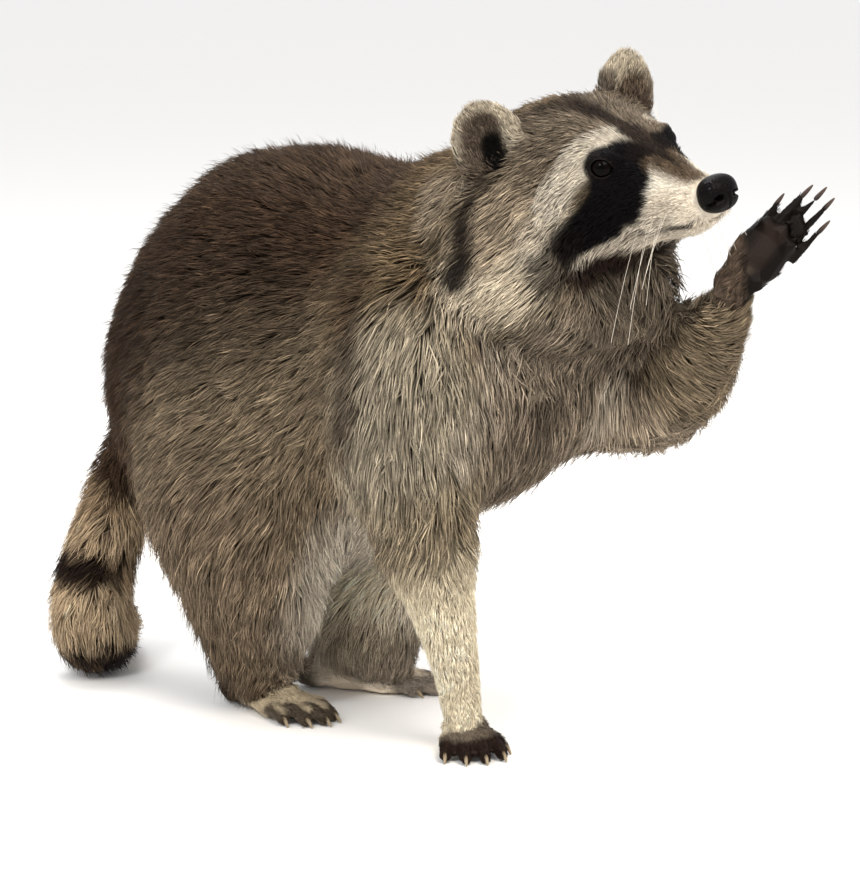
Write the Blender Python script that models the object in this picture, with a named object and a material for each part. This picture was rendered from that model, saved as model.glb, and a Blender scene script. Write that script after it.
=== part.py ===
"""A raccoon as a still, life-size museum model: it crouches on both hind feet and its right forepaw,
and holds its left forepaw up in front of its face.

The solids show the animal out to the tips of its coat. The flesh is modelled whole, then parted by
thin cuts. Axes: +X the way the body faces, +Y the animal's left, +Z up. Metres.
"""

from math import cos, pi, radians, sin

import bmesh
import bpy
from mathutils import Matrix, Vector

# --- Driving dimensions -------------------------------------------------------------------------
BACK_HEIGHT = 0.292  # floor to the highest point of the arched back, over the coat
PLAN_BACK_HEIGHT = 28.1  # the same height in the plan's own units
UNIT = BACK_HEIGHT / PLAN_BACK_HEIGHT  # one plan unit, a little over a centimetre
CUT = 0.0003  # gap that a cut leaves between two neighbours

BODY_GRAIN = 0.0030  # voxel of the trunk, legs and head while they are blended
PAW_GRAIN = 0.0009  # voxel of the paws, fine enough to keep the toes apart
BODY_TRIANGLES = 2200
PAW_TRIANGLES = 225
TRUNK_SIDES = 28  # points round each cross-section of a loft

EYE_RADIUS = 0.70  # plan units
EYE_PLACE = (-0.16, 1.90, 0.04)  # the middle of the left eye
CLAW_BASE = 0.17
CLAW_TIP = 0.035

# --- The head's own axes ------------------------------------------------------------------------
# The origin is midway between the eyes. The head is turned to its right, lifted and tipped sideways.
HEAD_PLACE = Vector((19.8, -0.5, 28.85))
HEAD_TURN = radians(-11.5)  # to the animal's right
HEAD_LIFT = radians(4)  # nose up
HEAD_TIP = radians(15)  # crown towards the right shoulder


def plan(x, y, z):
    """A place in the plan, in metres."""
    return Vector((x, y, z)) * UNIT


HEAD_AXES = Matrix.Rotation(HEAD_TURN, 3, "Z") @ Matrix.Rotation(-HEAD_LIFT, 3, "Y")
HEAD_AXES = HEAD_AXES @ Matrix.Rotation(HEAD_TIP, 3, "X")


def on_head(forward, left, up):
    """A place on the head, from its own axes in plan units, in metres."""
    return (HEAD_PLACE + HEAD_AXES @ Vector((forward, left, up))) * UNIT


# --- Materials ----------------------------------------------------------------------------------
def material(name, colour, roughness):
    """A Principled material of one linear colour."""
    made = bpy.data.materials.new(name)
    made.use_nodes = True
    shader = made.node_tree.nodes["Principled BSDF"]
    shader.inputs["Base Color"].default_value = (*colour, 1)
    shader.inputs["Roughness"].default_value = roughness
    shader.inputs["Metallic"].default_value = 0
    made.diffuse_color = (*colour, 1)
    return made


def make_materials():
    return {
        "coat": material("grizzled coat", (0.17, 0.13, 0.09), 0.9),
        "pale": material("pale short coat", (0.42, 0.34, 0.24), 0.9),
        "pad": material("bare dark skin", (0.035, 0.026, 0.02), 0.6),
        "nose": material("wet nose leather", (0.012, 0.01, 0.009), 0.3),
        "eye": material("dark eye", (0.006, 0.004, 0.003), 0.05),
        "claw": material("horn claw", (0.25, 0.18, 0.11), 0.4),
    }


# --- Shapes -------------------------------------------------------------------------------------
def object_of(name, mesh):
    made = bpy.data.objects.new(name, mesh)
    bpy.context.collection.objects.link(made)
    return made


def loft(name, sections, side, sides=TRUNK_SIDES):
    """A closed body through cross-sections, each (centre, half width, rise above it, drop below it)."""
    build = bmesh.new()
    rings = []
    for i, (centre, half_width, rise, drop) in enumerate(sections):
        before = sections[max(i - 1, 0)][0]
        after = sections[min(i + 1, len(sections) - 1)][0]
        along = (after - before).normalized()
        up = along.cross(side).normalized()
        across = up.cross(along)
        ring = []
        for k in range(sides):
            turn = 2 * pi * k / sides
            height = (rise if sin(turn) > 0 else drop) * sin(turn)
            ring.append(build.verts.new(centre + across * (half_width * cos(turn)) + up * height))
        rings.append(ring)
    for first, second in zip(rings, rings[1:]):
        for k in range(sides):
            j = (k + 1) % sides
            build.faces.new((first[k], first[j], second[j], second[k]))
    build.faces.new(rings[0])
    build.faces.new(reversed(rings[-1]))
    bmesh.ops.recalc_face_normals(build, faces=build.faces)
    mesh = bpy.data.meshes.new(name)
    build.to_mesh(mesh)
    build.free()
    return object_of(name, mesh)


def ellipsoid(name, centre, radii, axes=None, rings=14, sides=20):
    """An ellipsoid with its own axes."""
    build = bmesh.new()
    bmesh.ops.create_uvsphere(build, u_segments=sides, v_segments=rings, radius=1)
    size = Matrix.Diagonal(Vector(radii))
    turn = (axes or Matrix.Identity(3)) @ size
    bmesh.ops.transform(build, matrix=Matrix.Translation(centre) @ turn.to_4x4(), verts=build.verts)
    mesh = bpy.data.meshes.new(name)
    build.to_mesh(mesh)
    build.free()
    return object_of(name, mesh)


def limb(name, stations, resolution=4, sides=3):
    """A round tube through (place, radius) stations, on a smooth curve with a ball at each end."""
    curve = bpy.data.curves.new(name, "CURVE")
    curve.dimensions = "3D"
    curve.bevel_depth = 1
    curve.bevel_resolution = sides
    curve.resolution_u = resolution
    curve.use_fill_caps = True
    spline = curve.splines.new("BEZIER")
    spline.bezier_points.add(len(stations) - 1)
    for point, (place, radius) in zip(spline.bezier_points, stations):
        point.co = place
        point.radius = radius
        point.handle_left_type = point.handle_right_type = "AUTO"
    tube = object_of(name, curve)
    ends = [ellipsoid(name + "_end", place, (radius,) * 3, rings=8, sides=12)
            for place, radius in (stations[0], stations[-1])]
    return [tube, *ends]


def evaluated_copy(thing):
    """The object's mesh with its modifiers applied, in world space."""
    bpy.context.view_layer.update()
    graph = bpy.context.evaluated_depsgraph_get()
    mesh = bpy.data.meshes.new_from_object(thing.evaluated_get(graph))
    mesh.transform(thing.matrix_world)
    return mesh


def joined(name, things):
    """One object that holds the meshes of all these, which are removed."""
    build = bmesh.new()
    for thing in things:
        mesh = evaluated_copy(thing)
        build.from_mesh(mesh)
        bpy.data.meshes.remove(mesh)
        bpy.data.objects.remove(thing)
    bmesh.ops.recalc_face_normals(build, faces=build.faces)
    mesh = bpy.data.meshes.new(name)
    build.to_mesh(mesh)
    build.free()
    return object_of(name, mesh)


def blended(name, things, grain, smoothing, triangles):
    """These shapes melted into one closed surface of about so many triangles."""
    whole = joined(name, things)
    remesh = whole.modifiers.new("melt", "REMESH")
    remesh.mode = "VOXEL"
    remesh.voxel_size = grain
    soften = whole.modifiers.new("soften", "SMOOTH")
    soften.factor = 0.5
    soften.iterations = smoothing
    whole.data = evaluated_copy(whole)
    whole.modifiers.clear()
    faces = sum(len(face.vertices) - 2 for face in whole.data.polygons)
    thin = whole.modifiers.new("thin", "DECIMATE")
    thin.ratio = triangles / faces
    thin.use_collapse_triangulate = True
    whole.data = evaluated_copy(whole)
    whole.modifiers.clear()
    return whole


def carved(thing, other, operation="DIFFERENCE", keep_other=False):
    """The thing with the other cut from it, joined to it or kept as their overlap."""
    cut = thing.modifiers.new("carve", "BOOLEAN")
    cut.operation = operation
    cut.solver = "EXACT"
    cut.object = other
    mesh = evaluated_copy(thing)
    thing.modifiers.clear()
    thing.data = mesh
    if not keep_other:
        bpy.data.objects.remove(other)
    return thing


def box(name, low, high):
    build = bmesh.new()
    bmesh.ops.create_cube(build, size=1)
    middle = (low + high) / 2
    size = Matrix.Diagonal((*(high - low), 1))
    bmesh.ops.transform(build, matrix=Matrix.Translation(middle) @ size, verts=build.verts)
    mesh = bpy.data.meshes.new(name)
    build.to_mesh(mesh)
    build.free()
    return object_of(name, mesh)


def blade(name, centre, normal, radii, sides=24):
    """A thin elliptical plate that parts two neighbours; its first radius lies level."""
    build = bmesh.new()
    bmesh.ops.create_cone(build, cap_ends=True, segments=sides, radius1=1, radius2=1, depth=CUT)
    level = Vector((0, 0, 1)).cross(normal)
    if level.length < 0.3:
        level = Vector((0, 1, 0))
    across = (level - normal * level.dot(normal)).normalized()
    turn = Matrix((across, normal.cross(across), normal)).transposed().to_4x4()
    size = Matrix.Diagonal((radii[0], radii[1], 1, 1))
    bmesh.ops.transform(build, matrix=Matrix.Translation(centre) @ turn @ size, verts=build.verts)
    mesh = bpy.data.meshes.new(name)
    build.to_mesh(mesh)
    build.free()
    return object_of(name, mesh)


# --- The trunk, neck and tail -------------------------------------------------------------------
# Each section: (x, z of its centre, half width, rise, drop), from the rump to the chest.
TRUNK = (
    (-11.6, 14.0, 2.6, 3.0, 3.0),
    (-10.8, 14.2, 4.6, 5.0, 5.0),
    (-9.0, 14.6, 6.3, 7.2, 7.2),
    (-6.2, 15.4, 7.6, 9.6, 9.0),
    (-2.4, 16.4, 8.6, 11.6, 10.2),
    (1.6, 17.2, 8.6, 11.4, 9.8),
    (6.4, 17.8, 7.8, 10.0, 8.4),
    (10.0, 18.4, 7.0, 8.2, 7.2),
    (13.0, 19.0, 5.8, 6.4, 6.0),
    (15.0, 19.6, 3.6, 4.0, 4.0),
)
# Each section: centre, half width, rise, drop, from between the shoulders into the head.
NECK = (
    ((5.5, 0.0, 20.0), 6.6, 7.0, 7.0),
    ((9.0, 0.0, 21.8), 6.6, 6.6, 7.0),
    ((12.0, 0.0, 23.6), 6.4, 6.0, 6.8),
    ((14.8, 0.1, 25.2), 6.2, 5.2, 6.9),
    ((17.0, 0.2, 26.0), 5.4, 4.4, 6.4),
)
TAIL = (
    ((-8.5, -0.2, 13.5), 3.3),
    ((-11.2, -0.5, 12.2), 2.7),
    ((-12.7, -1.1, 9.8), 2.25),
    ((-12.9, -2.2, 7.2), 2.25),
    ((-13.0, -3.4, 4.6), 2.3),
    ((-12.0, -4.4, 2.4), 2.4),
    ((-12.9, -2.8, 1.9), 2.15),
    ((-14.3, -1.0, 1.8), 1.95),
    ((-15.9, 0.9, 1.65), 1.75),
    ((-17.2, 2.4, 1.2), 1.15),
)


def trunk_shapes():
    side = Vector((0, 1, 0))
    body = loft("body", [(plan(x, 0, z), w * UNIT, r * UNIT, d * UNIT) for x, z, w, r, d in TRUNK], side)
    neck = loft("neck", [(plan(*c), w * UNIT, r * UNIT, d * UNIT) for c, w, r, d in NECK], side)
    return [body, neck]


def tube(name, stations):
    return limb(name, [(plan(*place), radius * UNIT) for place, radius in stations])


# --- The legs -----------------------------------------------------------------------------------
RIGHT_FORELEG = (
    ((9.4, -4.2, 20.2), 4.9),
    ((10.1, -5.1, 16.2), 4.3),
    ((10.6, -5.2, 12.6), 3.3),
    ((11.0, -4.7, 9.8), 2.5),
    ((11.3, -4.3, 7.8), 1.95),
    ((11.5, -3.7, 5.4), 1.55),
    ((11.7, -3.3, 3.2), 1.3),
    ((11.9, -3.3, 2.0), 1.25),
)
LEFT_FORELEG = (
    ((9.8, 4.2, 18.8), 4.9),
    ((13.2, 5.0, 17.6), 4.3),
    ((16.2, 5.4, 16.9), 3.5),
    ((18.2, 5.3, 17.6), 2.8),
    ((20.0, 4.6, 19.2), 2.3),
    ((21.4, 3.9, 20.6), 1.75),
    ((22.3, 3.4, 21.7), 1.35),
    ((22.9, 3.1, 22.5), 1.2),
)
# The furry hind leg: (x, y, z, half width, reach forward, reach back), for the right side.
HIND_LEG = (
    (-1.6, -4.4, 15.0, 4.2, 5.6, 6.2),
    (-1.2, -4.9, 11.5, 4.3, 5.8, 6.2),
    (-1.0, -4.8, 8.5, 4.0, 5.2, 5.0),
    (-1.0, -4.3, 6.0, 3.3, 4.4, 3.9),
    (-1.2, -3.8, 3.9, 2.7, 3.6, 3.2),
    (-1.4, -3.5, 2.4, 2.1, 2.6, 2.8),
    (-1.7, -3.4, 1.1, 1.8, 1.9, 2.5),
)


# The left leg stands a little further forward, its foot turned out.
HIND_LEG_LEFT = (
    (-1.6, -4.4, 15.0, 4.2, 5.6, 6.2),
    (-0.9, -4.9, 11.5, 4.3, 5.9, 6.0),
    (-0.3, -4.6, 8.5, 4.0, 5.3, 4.8),
    (0.2, -3.6, 6.0, 3.5, 4.5, 3.8),
    (0.2, -2.9, 3.9, 3.0, 4.1, 3.3),
    (0.0, -2.6, 2.4, 2.5, 3.6, 3.0),
    (-0.3, -2.5, 1.3, 2.1, 2.8, 2.6),
)


def hind_leg_shapes(table, mirror):
    side = Vector((0, 1, 0))
    sections = [
        (plan(x, y * mirror, z), w * UNIT, front * UNIT, back * UNIT) for x, y, z, w, front, back in table
    ]
    return [loft("hind_leg", sections, side)]


# --- The head -----------------------------------------------------------------------------------
# Each section: (forward of the eyes, half width, height of its widest level, rise, drop).
HEAD = (
    (4.9, 0.80, -1.95, 0.65, 0.95),
    (4.2, 1.15, -2.05, 1.05, 1.20),
    (3.2, 1.45, -2.10, 1.50, 1.60),
    (2.2, 1.75, -2.10, 2.00, 2.05),
    (1.2, 2.15, -2.00, 2.50, 2.35),
    (0.2, 2.75, -1.85, 3.05, 2.70),
    (-1.0, 3.75, -1.75, 3.55, 3.10),
    (-2.5, 4.80, -1.75, 4.20, 3.60),
    (-4.0, 5.45, -1.75, 4.60, 4.10),
    (-5.5, 5.70, -1.75, 4.70, 4.50),
    (-7.0, 5.40, -1.75, 4.40, 4.60),
    (-8.4, 4.50, -1.75, 3.60, 4.10),
)
EAR_THICK, EAR_WIDE = 0.72, 1.85  # half thickness and half width
# Each ear: its middle, half height, turn outwards from straight ahead and lean of its tip outwards.
# The left ear is pricked forward.
EARS = {
    -1: ((-4.5, -4.5, 1.9), 2.3, radians(24), radians(20)),
    1: ((-4.7, 4.25, 1.55), 2.15, radians(3), radians(16)),
}
# Each soft shape under the skull's surface: name, middle and half sizes, for the left side.
FACE_MASSES = (
    ("brow", (-0.5, 1.65, 0.5), (1.5, 1.05, 0.7)),
    ("whisker_pad", (3.3, 0.7, -2.45), (1.45, 1.0, 1.05)),
    ("cheek", (-4.3, 3.9, -3.3), (2.9, 2.5, 3.0)),
)


def head_mass(name, middle, sizes):
    return ellipsoid(name, on_head(*middle), [size * UNIT for size in sizes], HEAD_AXES)


def head_shapes():
    left = HEAD_AXES @ Vector((0, 1, 0))
    sections = []
    for forward, half_width, level, rise, drop in reversed(HEAD):
        sections.append((on_head(forward, 0, level), half_width * UNIT, rise * UNIT, drop * UNIT))
    shapes = [loft("skull", sections, left)]
    for mirror in (-1, 1):
        for name, (forward, side, up), sizes in FACE_MASSES:
            shapes.append(head_mass(name, (forward, side * mirror, up), sizes))
    shapes.append(head_mass("chin", (2.2, 0, -3.45), (1.6, 0.95, 0.65)))
    shapes.append(head_mass("throat", (-2.9, 1.2, -6.4), (2.1, 1.9, 1.9)))
    return shapes


def ear_shapes(mirror):
    """A rounded ear, hollowed in front, on a thick root."""
    place, half_height, turn, lean = EARS[mirror]
    axes = HEAD_AXES @ Matrix.Rotation(-lean * mirror, 3, "X")
    axes = axes @ Matrix.Rotation(turn * mirror, 3, "Z")
    middle = on_head(*place)
    tall = half_height / 2.3

    def ear_mass(name, offset, sizes):
        return ellipsoid(name, middle + axes @ Vector(offset) * UNIT, [size * UNIT for size in sizes], axes)

    ear = ear_mass("ear", (0, 0, 0), (EAR_THICK, EAR_WIDE, half_height))
    hollow = ear_mass("hollow", (0.95, 0, 0.15), (0.95, 1.35, 1.85 * tall))
    root = ear_mass("root", (-0.35, 0, -1.5 * tall), (1.05, 1.55, 1.3))
    return [carved(ear, hollow), root]


# --- The paws -----------------------------------------------------------------------------------
# Each digit, from the thumb: (root forward, root to the thumb's side, splay in degrees, length, radius).
RAISED = (
    (2.4, 0.92, -1, 1.75, 0.25),
    (3.0, 0.46, -8, 2.3, 0.22),
    (3.1, -0.12, -7.5, 2.5, 0.21),
    (3.0, -0.69, -8, 2.4, 0.21),
    (2.6, -1.22, -8, 1.8, 0.22),
)
PLANTED = (
    (0.6, 1.10, 30, 1.1, 0.34),
    (1.3, 0.95, 12, 1.7, 0.40),
    (1.6, 0.30, 3, 1.8, 0.40),
    (1.6, -0.40, -5, 1.8, 0.40),
    (1.3, -1.05, -14, 1.6, 0.40),
)
FOOT = (
    (4.5, 1.15, 9, 1.5, 0.42),
    (5.2, 0.75, 4, 1.8, 0.43),
    (5.4, 0.05, 0, 1.9, 0.43),
    (5.1, -0.65, -4, 1.8, 0.42),
    (4.4, -1.25, -9, 1.6, 0.40),
)


class Paw:
    """Where one paw is and how it is turned. Its axes are fingers, thumb side and back of the hand."""

    def __init__(self, name, place, fingers, back, digits, thumb):
        self.name = name
        self.place = plan(*place)
        self.digits = digits
        fingers = fingers.normalized()
        across = back.cross(fingers).normalized() * thumb
        self.axes = Matrix((fingers, across, fingers.cross(across) * thumb)).transposed()

    def at(self, forward, across, above):
        return self.place + self.axes @ Vector((forward, across, above)) * UNIT

    def digit(self, k, bend, drop):
        """Three places along a digit: its root, its knuckle and its tip."""
        forward, across, splay, length, radius = self.digits[k]
        splay = radians(splay)
        run = Vector((cos(splay), sin(splay), 0))
        root = Vector((forward, across, drop))
        knuckle = root + run * (length * 0.5) + Vector((0, 0, bend))
        tip = root + run * length + Vector((0, 0, -bend))
        return [self.at(*p) for p in (root, knuckle, tip)], radius * UNIT, run


def claw(paw, k, bend, drop, length, hook):
    """A curved claw on the top of a digit's tip."""
    (root, knuckle, tip), radius, run = paw.digit(k, bend, drop)
    ahead = paw.axes @ run
    above = paw.axes @ Vector((0, 0, 1))
    start = tip + above * (radius * 0.3) - ahead * (radius * 0.35)
    reach = length * UNIT
    low = above * (hook * UNIT)
    sections = [
        (start, CLAW_BASE),
        (start + ahead * reach * 0.6 - low * 0.15, CLAW_BASE * 0.75),
        (start + ahead * reach - low, CLAW_TIP),
    ]
    across = paw.axes @ Vector((0, 1, 0))
    rings = [(place, r * 0.8 * UNIT, r * UNIT, r * UNIT) for place, r in sections]
    return loft(f"claw_{paw.name}_{k + 1}", rings, across, sides=5)


def digit_shapes(paw, bend, drop):
    shapes = []
    for k in range(5):
        places, radius, run = paw.digit(k, bend, drop)
        stations = list(zip(places, (radius * 1.12, radius, radius * 0.85)))
        shapes += limb("digit", stations, resolution=4, sides=2)
    return shapes


def paw_ellipsoid(paw, name, place, radii):
    return ellipsoid(name, paw.at(*place), [r * UNIT for r in radii], paw.axes)


# Each pad of the palm: how far along it, how far across it, and its half length.
PALM_PADS = ((3.1, 0.7, 0.5), (3.2, -0.05, 0.5), (2.8, -0.75, 0.5), (0.7, 0.7, 0.62), (0.6, -0.5, 0.62))


def raised_shapes(paw, bend, drop):
    """The open hand: wrist, palm, pads and fingers."""
    shapes = [
        paw_ellipsoid(paw, "wrist", (-0.1, 0.15, 0.1), (1.3, 1.15, 0.95)),
        paw_ellipsoid(paw, "palm", (1.75, 0.15, 0.0), (1.95, 1.32, 0.62)),
        paw_ellipsoid(paw, "thumb_root", (1.5, 0.9, 0.0), (1.2, 0.5, 0.5)),
    ]
    for forward, across, size in PALM_PADS:
        shapes.append(paw_ellipsoid(paw, "pad", (forward, across, -0.36), (size, size * 0.8, 0.4)))
    return shapes + digit_shapes(paw, bend, drop)


def planted_shapes(paw, bend, drop):
    """The hand that bears weight: heel of the hand, palm and spread fingers."""
    shapes = [
        paw_ellipsoid(paw, "heel", (0.2, 0.0, drop + 0.35), (1.5, 1.2, 1.1)),
        paw_ellipsoid(paw, "palm", (1.2, 0.0, drop + 0.2), (1.5, 1.5, 0.8)),
    ]
    return shapes + digit_shapes(paw, bend, drop)


def foot_shapes(paw, bend, drop):
    """The long sole: heel, instep, ball and toes."""
    shapes = [
        paw_ellipsoid(paw, "heel", (0.6, 0.0, drop + 0.3), (1.3, 1.1, 1.0)),
        paw_ellipsoid(paw, "instep", (2.4, 0.0, drop + 0.5), (2.8, 1.25, 1.2)),
        paw_ellipsoid(paw, "ball", (4.0, 0.0, drop + 0.1), (1.9, 1.6, 0.72)),
    ]
    return shapes + digit_shapes(paw, bend, drop)


def make_paws():
    """The four paws, with how far their digits bend, where their middle lies and how their claws run."""
    down = Vector((0, 0, 1))
    raised_fingers = Vector((0.27, 0.60, 0.76))
    raised_back = Vector((-0.60, 0.78, -0.17))
    fore_right = Paw("forepaw_right", (11.5, -2.6, 0.0), Vector((0.76, -0.65, 0)), down, PLANTED, 1)
    fore_left = Paw("forepaw_left", (23.1, 3.1, 22.6), raised_fingers, raised_back, RAISED, -1)
    hind_right = Paw("hindpaw_right", (-3.5, -2.9, 0.0), Vector((0.985, -0.16, 0)), down, FOOT, 1)
    hind_left = Paw("hindpaw_left", (-2.5, 1.5, 0.0), Vector((0.88, 0.47, 0)), down, FOOT, -1)
    return (
        (fore_right, planted_shapes, dict(bend=0.16, drop=0.45), dict(length=0.6, hook=0.36)),
        (fore_left, raised_shapes, dict(bend=0.10, drop=0.0), dict(length=0.8, hook=0.25)),
        (hind_right, foot_shapes, dict(bend=0.16, drop=0.45), dict(length=0.7, hook=0.38)),
        (hind_left, foot_shapes, dict(bend=0.16, drop=0.45), dict(length=0.7, hook=0.38)),
    )


# --- Parting the flesh --------------------------------------------------------------------------
LIMB_MARGIN = 0.45  # how far the parting surface of a limb runs outside the limb
# Each blade: a point on it, its normal, and its half width across and along, in the plan.
TAIL_ROOT = ((-12.3, -0.9, 10.4), (0.52, 0.21, 0.83), 4.4, 4.4)
TAIL_MIDDLE = ((-13.0, -2.3, 7.0), (0.0, 0.35, 1.0), 3.4, 3.4)
TAIL_END = ((-14.6, -0.7, 1.8), (0.6, -0.8, 0.0), 3.4, 3.4)
NECK_ROOT = ((11.8, 0.0, 22.4), (0.76, 0.0, 0.65), 12.0, 12.0)
ELBOW_RIGHT = ((10.9, -4.8, 10.4), (-0.12, -0.15, 1.0), 4.5, 4.5)
ELBOW_LEFT = ((18.3, 5.3, 17.7), (0.9, -0.15, 0.42), 4.5, 4.5)
KNEE_RIGHT = ((-1.0, -4.4, 6.6), (0.0, 0.0, 1.0), 6.5, 6.5)
KNEE_LEFT = ((0.1, 4.0, 6.6), (0.0, 0.0, 1.0), 6.5, 6.5)


def swollen(thing, by):
    """A copy of the thing, grown along its normals."""
    build = bmesh.new()
    build.from_mesh(thing.data)
    build.normal_update()
    for vert, normal in [(v, v.normal.copy()) for v in build.verts]:
        vert.co += normal * by * 1.12
    mesh = bpy.data.meshes.new("swollen")
    build.to_mesh(mesh)
    build.free()
    return object_of("swollen", mesh)


def pieces_of(thing):
    """The loose pieces of a thing, the largest first; the thing itself goes."""
    build = bmesh.new()
    build.from_mesh(thing.data)
    left = set(build.verts)
    groups = []
    while left:
        group = set()
        front = [left.pop()]
        while front:
            vert = front.pop()
            group.add(vert)
            for edge in vert.link_edges:
                other = edge.other_vert(vert)
                if other in left:
                    left.remove(other)
                    front.append(other)
        groups.append(group)
    pieces = []
    for group in groups:
        piece = build.copy()
        piece.verts.ensure_lookup_table()
        keep = {vert.index for vert in group}
        bmesh.ops.delete(piece, geom=[v for v in piece.verts if v.index not in keep], context="VERTS")
        mesh = bpy.data.meshes.new("piece")
        piece.to_mesh(mesh)
        pieces.append((abs(piece.calc_volume()), mesh))
        piece.free()
    build.free()
    bpy.data.objects.remove(thing)
    pieces.sort(key=lambda pair: -pair[0])
    made = [object_of("piece", mesh) for volume, mesh in pieces if volume > 1e-7]
    return made


def split(thing, blade_at, name):
    """The two halves a blade leaves: first the one its normal points to, named, then the other."""
    centre, normal, across, along = blade_at
    normal = Vector(normal).normalized()
    knife = blade("knife", plan(*centre), normal, (across * UNIT, along * UNIT))
    halves = pieces_of(carved(thing, knife))
    middle = plan(*centre)

    def side(piece):
        corners = [v.co for v in piece.data.vertices]
        return sum((c - middle).dot(normal) for c in corners) / len(corners)

    halves = sorted(halves[:2], key=side, reverse=True)
    halves[0].name = name
    return halves[0], halves[-1]


def take(body, zone, name):
    """The part of the body inside the zone, named, and the body without it."""
    rest_zone = swollen(zone, CUT)
    mesh = body.data.copy()
    part = carved(object_of(name, mesh), zone, "INTERSECT")
    part = pieces_of(part)[0]
    part.name = name
    rest = pieces_of(carved(body, rest_zone))[0]
    return part, rest


def seat(host, guest):
    """Cuts room for the guest, with a thin gap, from its host."""
    name = host.name
    rest = pieces_of(carved(host, swollen(guest, CUT)))[0]
    rest.name = name
    return rest


def zone_of(shapes, triangles=120):
    return blended("zone", shapes, BODY_GRAIN, 1, triangles)


def wider(stations, first):
    """Limb stations grown by the margin, from one of them on."""
    return [(place, radius + LIMB_MARGIN) for place, radius in stations[first:]]


def wider_leg(table):
    return [(x, y, z, w + LIMB_MARGIN, f + LIMB_MARGIN, b + LIMB_MARGIN) for x, y, z, w, f, b in table[1:]]


def floor_cut(thing):
    """Trims what would reach under the floor, which leaves a small flat."""
    far = 60 * UNIT
    under = box("under", Vector((-far, -far, -far)), Vector((far, far, 0)))
    name = thing.name
    made = pieces_of(carved(thing, under))[0]
    made.name = name
    return made


def tidied(thing, name, paint):
    """A closed, triangulated, named body with its one material."""
    build = bmesh.new()
    build.from_mesh(thing.data)
    bmesh.ops.remove_doubles(build, verts=build.verts, dist=0.00002)
    bmesh.ops.dissolve_degenerate(build, dist=0.00002, edges=build.edges)
    bmesh.ops.triangulate(build, faces=build.faces)
    bmesh.ops.recalc_face_normals(build, faces=build.faces)
    if build.calc_volume(signed=True) < 0:
        bmesh.ops.reverse_faces(build, faces=build.faces)
    build.to_mesh(thing.data)
    build.free()
    thing.data.materials.clear()
    thing.data.materials.append(paint)
    for face in thing.data.polygons:
        face.material_index = 0
        face.use_smooth = False
    thing.name = name
    thing.data.name = name
    return thing


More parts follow.
